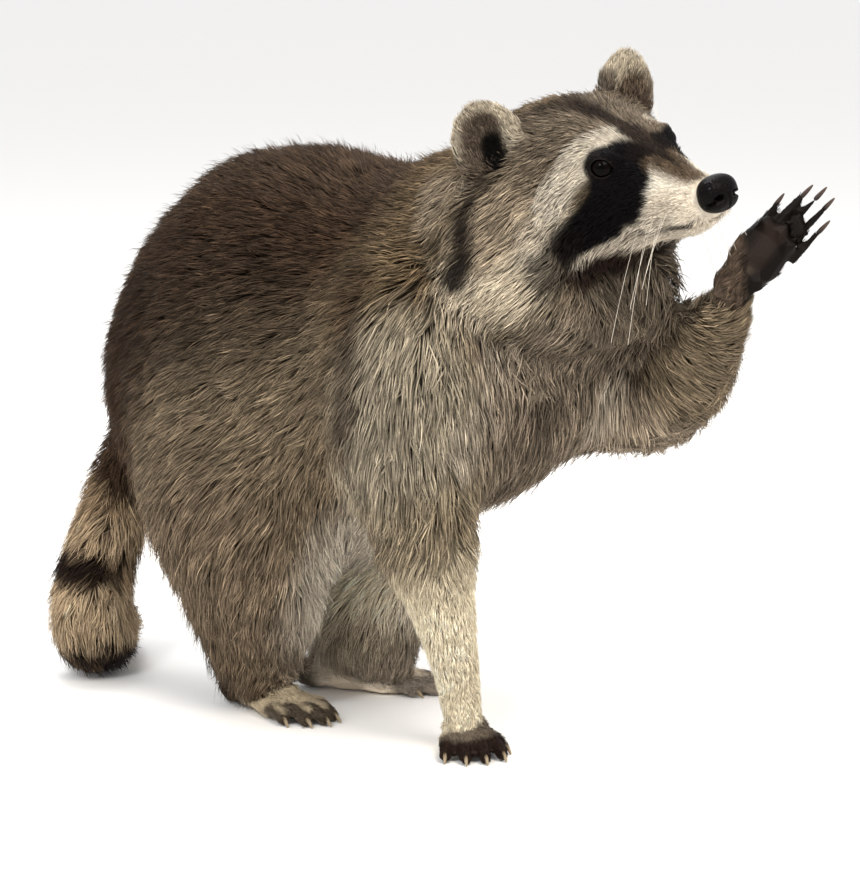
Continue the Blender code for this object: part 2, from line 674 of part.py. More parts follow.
def main():
    for thing in list(bpy.data.objects):
        bpy.data.objects.remove(thing)
    paint = make_materials()

    shapes = trunk_shapes() + head_shapes()
    shapes += tube("tail", TAIL) + tube("foreleg", RIGHT_FORELEG) + tube("foreleg", LEFT_FORELEG)
    shapes += hind_leg_shapes(HIND_LEG, 1) + hind_leg_shapes(HIND_LEG_LEFT, -1)
    body = floor_cut(blended("body", shapes, BODY_GRAIN, 8, BODY_TRIANGLES))

    # The limbs leave the body first, each along a surface just outside itself.
    foreleg_right, body = take(body, zone_of(tube("zone", wider(RIGHT_FORELEG, 1))), "foreleg_right")
    foreleg_left, body = take(body, zone_of(tube("zone", wider(LEFT_FORELEG, 2))), "foreleg_left")
    hind_right, body = take(body, zone_of(hind_leg_shapes(wider_leg(HIND_LEG), 1)), "hind_right")
    hind_left, body = take(body, zone_of(hind_leg_shapes(wider_leg(HIND_LEG_LEFT), -1)), "hind_left")
    parts = {}
    body, tail = split(body, TAIL_ROOT, "body")
    parts["tail_base"], tail = split(tail, TAIL_MIDDLE, "tail_base")
    parts["tail_middle"], parts["tail_tip"] = split(tail, TAIL_END, "tail_middle")
    head, body = split(body, NECK_ROOT, "head_and_neck")
    nape = on_head(-6.6, 0, -2.4) / UNIT
    head, parts["neck"] = split(head, (nape, HEAD_AXES @ Vector((0.862, 0, 0.507)), 12.0, 10.0), "head")
    parts["trunk"] = body
    parts["foreleg_right_upper"], foreleg_right = split(foreleg_right, ELBOW_RIGHT, "upper")
    foreleg_left, parts["foreleg_left_upper"] = split(foreleg_left, ELBOW_LEFT, "lower")
    parts["hindleg_right_thigh"], hind_right = split(hind_right, KNEE_RIGHT, "thigh")
    parts["hindleg_left_thigh"], hind_left = split(hind_left, KNEE_LEFT, "thigh")

    # The paws, ears, eyes and nose are seated in what carries them.
    paws = []
    for paw, shaper, pose, nails in make_paws():
        flesh = floor_cut(blended(paw.name, shaper(paw, **pose), PAW_GRAIN, 2, PAW_TRIANGLES))
        flesh.name = paw.name
        nail_parts = [claw(paw, k, pose["bend"], pose["drop"], **nails) for k in range(5)]
        for nail in nail_parts:
            parts[nail.name] = nail
        paws.append((flesh, nail_parts))
    foreleg_right = seat(foreleg_right, paws[0][0])
    foreleg_left = seat(foreleg_left, paws[1][0])
    hind_right = seat(hind_right, paws[2][0])
    hind_left = seat(hind_left, paws[3][0])
    for flesh, nail_parts in paws:
        name = flesh.name
        for nail in nail_parts:
            flesh = seat(flesh, nail)
        parts[name] = flesh
    for mirror, side in ((-1, "right"), (1, "left")):
        ear = blended("ear", ear_shapes(mirror), 0.0012, 3, 180)
        head = seat(head, ear)
        parts["ear_" + side] = ear
        forward, outward, up = EYE_PLACE
        eye_middle = on_head(forward, outward * mirror, up)
        eye = ellipsoid("eye", eye_middle, [EYE_RADIUS * UNIT] * 3, rings=7, sides=12)
        head = seat(head, eye)
        parts["eye_" + side] = eye
    nose_radii = [0.75 * UNIT, 0.98 * UNIT, 0.85 * UNIT]
    nose = ellipsoid("nose", on_head(4.9, 0, -1.8), nose_radii, HEAD_AXES, rings=7, sides=12)
    head = seat(head, nose)
    parts["nose"] = nose
    parts["head"] = head
    parts["foreleg_right_lower"] = foreleg_right
    parts["foreleg_left_lower"] = foreleg_left
    parts["hindleg_right_shank"] = hind_right
    parts["hindleg_left_shank"] = hind_left

    def paint_for(name):
        if name.startswith("claw"):
            return paint["claw"]
        if name.startswith("eye"):
            return paint["eye"]
        if name == "nose":
            return paint["nose"]
        if name.startswith("forepaw"):
            return paint["pad"]
        if name.startswith("hindpaw") or name.endswith("lower"):
            return paint["pale"]
        return paint["coat"]

    for name, thing in parts.items():
        tidied(thing, name, paint_for(name))

    # The origin is brought under the middle of the whole, on the floor.
    points = [v.co for thing in parts.values() for v in thing.data.vertices]
    low = Vector(min(p[i] for p in points) for i in range(3))
    high = Vector(max(p[i] for p in points) for i in range(3))
    move = Matrix.Translation((-(low.x + high.x) / 2, -(low.y + high.y) / 2, -low.z))
    for thing in parts.values():
        thing.data.transform(move)
    print("origin moved by", tuple(round(c, 5) for c in move.translation))


main()
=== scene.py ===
# %% [markdown]
# A raccoon, standing on three legs and holding up its left hand, as a life-size museum model.
# The solids from the CAD give its outline out to the tips of the coat. This lesson dresses them:
# one skin that lies inside the solids, a coat of solid locks combed over it, wet eyes and nose,
# horny claws, whiskers, and a plain studio to see it in. Everything is in metres.

# %% Load the frame
import bmesh
import bpy
import math
import numpy as np
from mathutils import Matrix, Vector
from mathutils.bvhtree import BVHTree
from mathutils.kdtree import KDTree


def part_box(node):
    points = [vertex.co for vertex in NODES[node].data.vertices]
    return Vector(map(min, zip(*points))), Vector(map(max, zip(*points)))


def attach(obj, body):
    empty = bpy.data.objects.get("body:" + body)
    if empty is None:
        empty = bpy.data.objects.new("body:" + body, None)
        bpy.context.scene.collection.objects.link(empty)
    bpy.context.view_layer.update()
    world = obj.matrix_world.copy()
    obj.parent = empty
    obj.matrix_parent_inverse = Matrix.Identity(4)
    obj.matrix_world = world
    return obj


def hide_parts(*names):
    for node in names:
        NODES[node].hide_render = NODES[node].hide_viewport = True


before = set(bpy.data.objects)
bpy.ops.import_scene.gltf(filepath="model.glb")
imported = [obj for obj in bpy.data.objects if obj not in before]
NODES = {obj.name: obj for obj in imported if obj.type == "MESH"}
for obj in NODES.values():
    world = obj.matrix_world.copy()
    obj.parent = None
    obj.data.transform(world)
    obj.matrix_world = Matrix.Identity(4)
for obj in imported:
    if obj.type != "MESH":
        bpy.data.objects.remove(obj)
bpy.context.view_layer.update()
MM = 0.001

# %% [markdown]
# Two rulers make the rest easy to write down. The head has its own, with its origin between the
# eyes: x runs forward to the nose, y to the animal's left and z up. The body has a plain one whose
# axes are the model's. Both are read off the eyes and the nose of the frame, so a marking or a
# parting keeps its place on the animal if the frame changes.

# %% The rulers of head and body
EYES_APART = 3.80  # between the eyes' middles, in units
EYE_LEVEL = Vector((-0.16, 0, 0.04))  # the middle between the eyes on the head's ruler
NOSE_DROP = math.radians(19.98)  # how far below straight ahead the nose lies, seen from the eyes
HEAD_ON_BODY = Vector((19.8, -0.5, 28.85))  # the head's origin on the body's ruler


def middle(name):
    low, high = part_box(name)
    return (low + high) / 2


def head_ruler():
    """The head's origin, its axes as a matrix and the size of one unit."""
    across = middle("eye_left") - middle("eye_right")
    left = across.normalized()
    between = (middle("eye_left") + middle("eye_right")) / 2
    ahead = middle("nose") - between
    ahead = (ahead - left * ahead.dot(left)).normalized()
    ahead = Matrix.Rotation(-NOSE_DROP, 3, left) @ ahead
    axes = Matrix((ahead, left, ahead.cross(left))).transposed()
    unit = across.length / EYES_APART
    return between - axes @ EYE_LEVEL * unit, axes, unit


HEAD_ORIGIN, HEAD_AXES, UNIT = head_ruler()
BODY_ORIGIN = HEAD_ORIGIN - HEAD_ON_BODY * UNIT


def from_head(point):
    return HEAD_ORIGIN + HEAD_AXES @ Vector(point) * UNIT


def from_body(point):
    return BODY_ORIGIN + Vector(point) * UNIT


def place(ruler, point):
    return from_head(point) if ruler == "head" else from_body(point)


print(f"one unit is {UNIT / MM:.2f} mm; the body's ruler starts {BODY_ORIGIN.z / MM:.1f} mm off the floor")

# %% [markdown]
# The markings are painted once, by one function, and both the skin and every lock of the coat ask
# it for their colour, so they can't disagree. Each marking is a soft stroke: a bent line with a
# width, laid over the ones before it, as a taxidermist's airbrush would. The colours are of real
# raccoon fur: a grizzled grey-brown back, paler flanks, cream brows, a black mask, tan legs. A few
# strokes paint light and shade as well: painted shade in a crease behind the right shoulder, on the
# lower chest and in the far ear, and painted light on the top of the back and on the far foot.

# %% Colours of the animal
FUR = {
    "back": "#3c2d21", "spine": "#45372b", "flank": "#6a5744", "low flank": "#756754",
    "haunch": "#756654", "heel": "#190f0b", "crease": "#34271e", "shoulder": "#60513d",
    "shoulder low": "#928876", "silver": "#a69b8b", "belly": "#c3b9a9", "chest": "#7a6e5f",
    "saddle": "#2a1f16", "neck": "#62523e", "leg": "#847762", "leg low": "#eaddc2",
    "arm": "#918371", "arm dark": "#261b13", "forearm": "#786a56", "wrist": "#4c4036",
    "palm": "#0c0806", "pad": "#221915", "shank": "#6e5f4d", "foot": "#b3a48a",
    "far foot": "#efdfc9", "toe": "#3a2e26", "toe dark": "#241a15", "tail": "#947e63",
    "tail ring": "#190e0a", "tail tan": "#ae997d", "tail tip": "#2c211b", "throat": "#63594c",
    "collar": "#0c0605", "ruff": "#c5b8a2", "nape": "#665641", "crown": "#706455",
    "crown edge": "#2b211a", "stripe": "#2e251f", "mask": "#060405", "mask edge": "#120c0a",
    "brow": "#bfb6a6", "temple": "#8d7f6c", "cheek": "#5d5242", "cheek pale": "#918573",
    "muzzle": "#dbd4c5", "muzzle low": "#ccc1b0", "bridge": "#625240", "jaw": "#221611",
    "lip": "#15100e", "ear rim": "#9f9583", "ear grey": "#50463c", "ear dark": "#060404",
    "ear back": "#54483c",
}


def linear(hexes):
    """The linear colour of an sRGB hex value."""
    parts = [int(hexes[i:i + 2], 16) / 255 for i in (1, 3, 5)]
    return tuple(c / 12.92 if c <= 0.04045 else ((c + 0.055) / 1.055) ** 2.4 for c in parts)


PAINT = {name: np.array(linear(value)) for name, value in FUR.items()}
print(len(PAINT), "fur colours")

# %% The strokes on the body
# Each stroke: mirrored to the other side or not, colour, the nodes it stays on ("" for all), half
# width, softness of its edge, how strongly it covers, and the points of its line. The sizes and
# points are in units on the ruler of the body.
BODY_STROKES = (
    (1, "low flank", "", 6, 5, 1, (6, 8, 14), (-2, 8, 11)),
    (1, "back", "", 5.5, 6.5, 1, (13, 0, 28), (6, 0, 28), (-3, 0, 28), (-9, 0, 23), (-12, 0, 16)),
    # painted light: the spine's stroke is a little lighter than the back, as light falls from above on the
    # top of the back
    (1, "spine", "", 2.5, 4, 0.8, (8, 0, 28), (-3, 0, 28.5), (-9, 0, 23.5), (-12.5, 0, 17)),
    (1, "saddle", "", 1.6, 3.6, 0.65, (-6, 7, 19.5), (-2, 7.8, 20.5), (2, 8, 21.2)),
    (1, "haunch", "", 2, 4.5, 0.9, (-1, 8, 9), (0, 7, 6)),
    (1, "heel", "", 0.8, 1.6, 0.9, (-4.8, 4.2, 3.2), (-4.4, 4.2, 1.2)),
    (1, "belly", "", 2.6, 4, 1, (9, 0, 10), (0, 0, 5.5), (-3, 0, 6)),
    (1, "shoulder", "", 2.5, 3.5, 1, (11, 8, 23), (11.5, 8.2, 20)),
    (1, "shoulder low", "", 2.5, 3, 1, (12.3, 8.2, 17.5), (12, 7.5, 14)),
    (1, "silver", "", 0.9, 1.5, 0.95, (16.2, 3.8, 20.5), (15.8, 4.4, 17), (14.8, 5.4, 14.2)),
    # painted shade: a soft dark line down the crease where the right shoulder meets the body
    (0, "crease", "", 0.3, 1.2, 0.72, (8.6, -7.6, 23), (9, -8.8, 20), (9.2, -8.9, 17), (8.4, -7, 13.5)),
    (1, "neck", "", 1.6, 2.6, 1, (11, 5.4, 26.8), (13.2, 5.8, 25.2)),
    (1, "chest", "", 2.4, 3, 0.9, (16.5, 0, 22), (16, 0, 17), (14, 0, 14)),
    (0, "leg", "foreleg_right", 1.6, 2.4, 1, (11.4, -5, 11.5), (11.4, -4.3, 9)),
    (0, "leg low", "foreleg_right", 1.6, 4.4, 1, (11.6, -4, 5.2), (11.8, -3.3, 2)),
    (0, "leg low", "foreleg_right", 0.7, 1.5, 0.9, (7.6, -5, 13.5), (8.4, -4.2, 11), (9.6, -3.6, 8),
     (10.4, -3, 5)),
    (0, "arm", "foreleg_left", 6, 3, 1, (10, 5, 17.5), (16, 5, 17), (20, 4.5, 19)),
    (0, "arm dark", "foreleg_left", 1.1, 2, 0.9, (16.4, 2.4, 18.6), (18, 2.4, 18.4), (19.4, 2.4, 19.6)),
    # painted shade: a dark stroke on the lower chest, between the right foreleg and the raised arm
    (0, "arm dark", "", 0.5, 1.6, 0.45, (15, -2, 14.6), (15.4, -1.5, 15.6)),
    (0, "silver", "foreleg_left", 0.8, 1.6, 0.7, (15.6, 1.6, 18.5), (15.4, 2, 15)),
    (0, "forearm", "foreleg_left", 1.6, 2, 0.9, (20.6, 4, 17.6), (21.8, 4.4, 19.6)),
    (0, "forearm", "foreleg_left", 1.4, 1.4, 0.9, (21.4, 3, 21.6), (22.6, 3, 22.6)),
    (0, "belly", "hindleg_left", 3, 2.4, 0.9, (0.6, 1.5, 6.4), (0.9, 1.2, 3.4)),
    (0, "leg low", "hindleg_left", 1.4, 2.2, 0.9, (0.6, 1.5, 7.2), (1.2, 1.2, 4)),
    (1, "shank", "hindleg", 1.6, 2.2, 0.7, (-2, 4.8, 3.2), (-0.4, 4.2, 2.2)),
    # partly painted light: a line of the far foot's cream, made paler than the near foot's where the body
    # shades the far foot
    (0, "far foot", "hindleg_left", 0.45, 0.6, 0.9, (-0.6, 0.8, 0.9), (2.2, 1, 0.9), (3.2, 2.6, 0.9)),
    (0, "shank", "hindleg_left", 1.2, 1.7, 0.7, (1.4, 1.4, 2.4), (2.8, 3.2, 2.2)),
    (1, "heel", "hindleg", 1, 1.8, 0.9, (-4.6, 4.4, 3), (-4.6, 4.4, 1)),
)
def hoop(x, y, z, radius, around=8):
    """The points of a level ring round a place on the body's ruler."""
    turns = [2 * math.pi * k / around for k in range(around + 1)]
    return [(x + radius * math.cos(turn), y + radius * math.sin(turn), z) for turn in turns]


TAIL_STROKES = (
    (0, "tail", "tail", 6, 2, 1, (-8, 0, 13), (-12, -1, 11), (-13, -2, 7)),
    (0, "tail ring", "tail", 0.3, 0.7, 0.25, *hoop(-12.7, -1.2, 10.2, 2.3)),
    (0, "tail tan", "tail", 0.7, 0.8, 0.7, *hoop(-12.9, -2.2, 7.2, 2.3)),
    (0, "tail ring", "tail", 0.35, 0.8, 0.6, *hoop(-13, -3, 5.5, 2.4)),
    (0, "tail ring", "tail", 0.4, 0.9, 0.95, *hoop(-13, -3, 5.6, 2.4)[3:8]),
    (0, "tail tan", "tail", 1.3, 0.7, 1, *hoop(-12.7, -3.8, 3, 2.5)),
    (0, "tail ring", "tail", 1.15, 0.6, 1, *hoop(-12.2, -4.4, 0.2, 2.2)),
    (0, "tail tan", "tail", 1.2, 0.8, 1, (-13.2, -1.2, 2), (-14.4, -0.8, 2), (-14.8, -3, 2)),
    (0, "tail ring", "tail", 0.8, 0.7, 1, (-15.9, -0.8, 1.6), (-14.6, 1.8, 1.6)),
    (0, "tail tip", "tail", 1.6, 0.8, 1, (-17.6, 2.6, 1.2), (-16.8, 2, 1.2)),
)
PAW_STROKES = (
    (0, "leg low", "forepaw_right", 6, 1, 1, (11, -3.6, 1.5), (13, -3.6, 1)),
    (0, "toe", "forepaw_right", 0.7, 0.9, 0.9, (12.2, -5.2, 0.5), (13.4, -4.6, 0.6), (13.4, -3, 0.6),
     (12.8, -2, 0.5)),
    (0, "toe dark", "forepaw_right", 0.9, 0.5, 1, (12.4, -5.9, 0.2), (14, -5.2, 0.2), (14.5, -3.6, 0.2),
     (14, -1.6, 0.2)),
    (0, "foot", "hindpaw_right", 6, 1, 1, (-3, -3.4, 1), (0, -3.4, 1)),
    # partly painted light: the far foot is paler than the near foot, partly its own cream and partly
    # painted light where the body shades it
    (0, "far foot", "hindpaw_left", 6, 1, 1, (-3, 3.4, 1), (0, 3.4, 1)),
    (0, "heel", "hindpaw_right", 1.3, 0.8, 0.95, (-4.6, -3.4, 0.6), (-3.4, -3.6, 0.4)),
    (0, "heel", "hindpaw_left", 1.1, 0.8, 0.9, (-3.6, 1.2, 0.6), (-2.8, 1.4, 0.4)),
    (0, "toe dark", "hindpaw_right", 0.9, 0.7, 0.9, (2, -5.6, 0.3), (3.2, -4.6, 0.3), (3.6, -3.4, 0.3),
     (3, -2, 0.3)),
    (0, "toe dark", "hindpaw_left", 0.8, 0.7, 0.8, (3, 6, 0.3), (4, 5, 0.3), (4.2, 3.8, 0.3),
     (3.6, 2.6, 0.3)),
    (0, "foot", "hindpaw_right", 0.12, 0.3, 0.8, (1, -4.9, 1.2), (2.1, -5.2, 0.8)),
    (0, "foot", "hindpaw_right", 0.12, 0.3, 0.8, (1.4, -4.1, 1.3), (2.8, -4.3, 0.8)),
    (0, "foot", "hindpaw_right", 0.12, 0.3, 0.8, (1.4, -3.3, 1.3), (3, -3.4, 0.8)),
    (0, "foot", "hindpaw_right", 0.12, 0.3, 0.8, (1.2, -2.5, 1.3), (2.6, -2.4, 0.8)),
    (0, "wrist", "forepaw_left", 9, 1, 1, (22, 3, 22), (24, 5, 26)),
    (0, "palm", "forepaw_left", 11.8, 0.4, 1, (32.3, 11.1, 24), (32.3, 11.1, 26)),
    (0, "pad", "forepaw_left", 0.35, 0.5, 0.8, (23.9, 3.2, 24), (24.3, 4.2, 25.2)),
)
print(len(BODY_STROKES + TAIL_STROKES + PAW_STROKES), "strokes on the body")

# %% The strokes on the head
# These are on the head's ruler. The lips' line is laid on the outline, because it is so narrow.
LIPS = ((1, 1.75, -3.36), (1.7, 1.6, -3.45), (2.6, 1.45, -3.3), (3.6, 1.35, -3.05), (4.5, 1, -2.75),
        (5, 0.3, -2.6))
LIP_STROKES = ((1, "lip", "head", 0.09, 0.2, 1, (0.2, 1.95, -3.5), *LIPS),)
HEAD_STROKES = (
    (1, "temple", "head", 4.5, 2, 1, (-1.8, 2.4, 1.2), (-3.6, 4.6, 0)),
    (1, "nape", "", 2, 2.4, 0.9, (-7.8, 0, 3), (-8.2, 2.6, 1.4)),
    (1, "cheek", "head", 2.6, 1.8, 1, (-1.8, 4.6, -1.6), (-3.2, 6.6, -2.8), (-4.6, 7.6, -4)),
    (1, "ruff", "", 0.8, 2, 1, (-2.4, 5.8, -3), (-3.8, 7, -4.3), (-4.5, 7.5, -4.4)),
    (1, "temple", "head", 1.1, 0.9, 0.9, (-2.3, 5.4, -0.3), (-3.4, 6.4, -1.2), (-4.4, 7.2, -2)),
    (1, "collar", "", 0.28, 0.7, 0.95, (-4.9, 6.2, 0.5), (-5, 7.05, -0.8), (-5, 7.6, -2.6),
     (-5.4, 7.8, -3.6)),
    (1, "crown", "head", 2, 1.4, 1, (-1.4, 1.4, 2), (-2.6, 2.2, 2.3), (-4, 3, 2.6)),
    (1, "crown edge", "head", 0.35, 0.7, 0.8, (-2.2, 0, 2.5), (-4.4, 0.4, 3), (-5.6, 2.4, 3)),
    (1, "throat", "", 1.8, 1.4, 0.9, (-1, 0, -6.2), (-3, 2, -7)),
    (1, "muzzle", "head", 1.9, 0.8, 1, (3.6, 1, -1.2), (2.7, 1.3, -1.6), (1.8, 1.6, -2.4)),
    (1, "muzzle low", "head", 1.2, 0.8, 1, (3.6, 1, -2.8), (1.6, 1.6, -3), (0.4, 1.6, -4.2)),
    (1, "muzzle low", "head", 0.55, 0.55, 0.95, (1.4, 0.4, -4.4), (-0.4, 2.2, -4.1), (-1.3, 3.6, -4.2)),
    (1, "cheek pale", "head", 0.6, 0.9, 0.9, (-1.6, 4.3, -1.2), (-2, 5, -2), (-2.4, 5.6, -2.8)),
    (0, "brow", "head", 0.58, 0.42, 1, (0.6, -0.62, 1.1), (-0.14, -1, 1.45), (-0.35, -1.85, 1.25),
     (-0.85, -2.8, 0.55), (-1.5, -3.8, -0.4), (-1.8, -4.4, -1.1)),
    (0, "brow", "head", 0.5, 0.4, 1, (-0.1, -0.62, 1.5), (-0.6, -1.6, 1.6), (-1.2, -2.8, 0.9)),
    (0, "brow", "head", 0.5, 0.5, 0.9, (-0.7, 2.4, 0.85), (-1, 3, 0.4), (-1.5, 3.8, -0.4),
     (-1.8, 4.4, -1.1)),
    (1, "mask", "head", 1, 0.35, 1, (0.9, 1.5, 0.25), (0.6, 2.3, -0.75), (0.3, 2.6, -1.6),
     (-0.3, 3, -2.5), (-1, 3.9, -3.1)),
    (1, "mask", "head", 0.5, 0.35, 1, (1.5, 1.6, -0.5), (1.3, 1.95, -1.4), (0.9, 2.3, -2.2)),
    (0, "mask", "head", 0.72, 0.3, 1, (-0.2, -1.95, 0.1), (0.3, -1.8, 0.15)),
    (0, "mask", "head", 0.6, 0.3, 1, (-0.2, 2.1, -0.05), (0.3, 1.9, 0)),
    (1, "brow", "head", 0.3, 0.9, 0.55, (-1.7, 4.3, -1.2), (-2.1, 5, -2.2), (-2.5, 5.6, -3.2)),
    (0, "crown", "head", 0.4, 0.35, 0.9, (0.1, 1.1, 1.05), (-0.4, 2.1, 1)),
    (1, "mask edge", "head", 0.7, 0.8, 0.8, (-1.2, 4.4, -3.4), (-1.9, 5.4, -4.2)),
    (1, "stripe", "head", 0.22, 0.4, 0.95, (-2.4, 0, 2.4), (-0.6, 0, 1.8), (0.4, 0, 1.3)),
    (1, "stripe", "head", 0.42, 0.42, 1, (0.1, 0, 1.5), (0.9, 0, 1), (2.3, 0, -0.2), (3.4, 0, -0.7)),
    (1, "mask edge", "head", 0.35, 0.4, 0.85, (1, 0.9, 0.5), (1.9, 0.6, 0.1), (2.9, 0.2, -0.4)),
    (1, "bridge", "head", 0.3, 0.45, 0.6, (2, 0.75, -0.2), (3.2, 0.5, -0.7), (4.2, 0.4, -0.9)),
    (1, "jaw", "", 0.4, 0.55, 0.95, (-1.6, 0.8, -5), (-1.7, 2.8, -4.95), (-1.3, 4.4, -4.9)),
)
EAR_STROKES = (
    (1, "ear rim", "ear", 6, 1, 1, (-4.5, 4.5, 2), (-4.5, 5, 3)),
    (1, "ear back", "ear", 1.1, 0.7, 1, (-5.4, 4.8, 1.4), (-5.3, 4.4, 0.2)),
    (0, "ear grey", "ear", 0.8, 0.45, 1, (-4.4, -5, 2.8), (-4.5, -5.1, 2), (-4.1, -5.3, 1.2)),
    (0, "ear dark", "ear", 0.42, 0.4, 1, (-4.2, -4.6, 2), (-4.2, -4.65, 1.2), (-3.6, -5.2, 0.4)),
    # painted shade: the grey on the far ear's inner side toward the crown is the shade in the ear's hollow
    (0, "ear grey", "ear", 0.4, 0.6, 0.9, (-4.6, 3, 0.8), (-4.6, 3, 2.6)),
)
# The dots that the whiskers grow from, in rows: the first one's place forward and up, and how many.
DOT_ROWS = ((3.0, -1.9, 3), (3.25, -2.25, 4), (3.0, -2.6, 4))
DOT_STROKES = tuple(
    (1, "jaw", "head", 0.02, 0.1, 0.55, *((x - 0.5 * k, y, z - 0.04 * k) for y in (1.1, 2.1)))
    for x, z, many in DOT_ROWS for k in range(many))
STROKES = (("body", BODY_STROKES + TAIL_STROKES + PAW_STROKES), ("head", HEAD_STROKES),
           ("face", LIP_STROKES), ("head", EAR_STROKES + DOT_STROKES))
print(len(HEAD_STROKES + LIP_STROKES + EAR_STROKES + DOT_STROKES), "strokes on the head")

# %% Painting with the strokes
def line_points(ruler, points, side):
    """The points of a line; on the face's ruler they are the head's, laid on the outline."""
    if ruler == "face":
        return laid_on_outline(line_points("head", points, side))
    return np.array([place(ruler, (x, y * side, z)) for x, y, z in points])


def lengths(rows):
    return np.linalg.norm(rows, axis=1)


def unit_rows(rows):
    """Each row made one long, or left at nothing."""
    return rows / (lengths(rows)[:, None] + 1e-9)


def distance_to(points, line):
    """How far each point is from a bent line."""
    nearest = np.full(len(points), 1e9)
    for a, b in zip(line[:-1], line[1:]):
        run = b - a
        along = np.clip(((points - a) @ run) / max(run @ run, 1e-12), 0, 1)
        nearest = np.minimum(nearest, lengths(points - a - along[:, None] * run))
    return nearest


def smooth_step(x):
    x = np.clip(x, 0, 1)
    return x * x * (3 - 2 * x)


def both_sides(mirrored):
    return (-1, 1) if mirrored else (1,)


def owned_by(owners, *names):
    """Which owners, given as numbers, are nodes whose names start with one of these."""
    return np.array([owner.startswith(names) for owner in OWNER_NAMES])[owners]


def markings(points, owners):
    """The linear colour of the animal at each point; owners are the numbers of the nodes there."""
    colour = np.tile(PAINT["flank"], (len(points), 1))
    for ruler, strokes in STROKES:
        for mirrored, name, stays, half, soft, strength, *line in strokes:
            where = np.nonzero(owned_by(owners, stays))[0]
            for side in both_sides(mirrored):
                away = distance_to(points[where], line_points(ruler, line, side)) / UNIT
                cover = strength * (1 - smooth_step((away - half) / soft))
                colour[where] += (PAINT[name] - colour[where]) * cover[:, None]
    return colour


OWNER_NAMES = sorted(n for n in NODES if not n.startswith(("claw", "eye", "nose")))
print(len(OWNER_NAMES), "nodes take the markings")

# %% [markdown]
# Fur lies the way it is combed, so the coat is described by combing lines: each runs over the body
# the way the hair points, and says how deep the coat is and how long its locks are, at its start
# and its end. Any place on the skin takes its lie, depth and length from the lines near it.

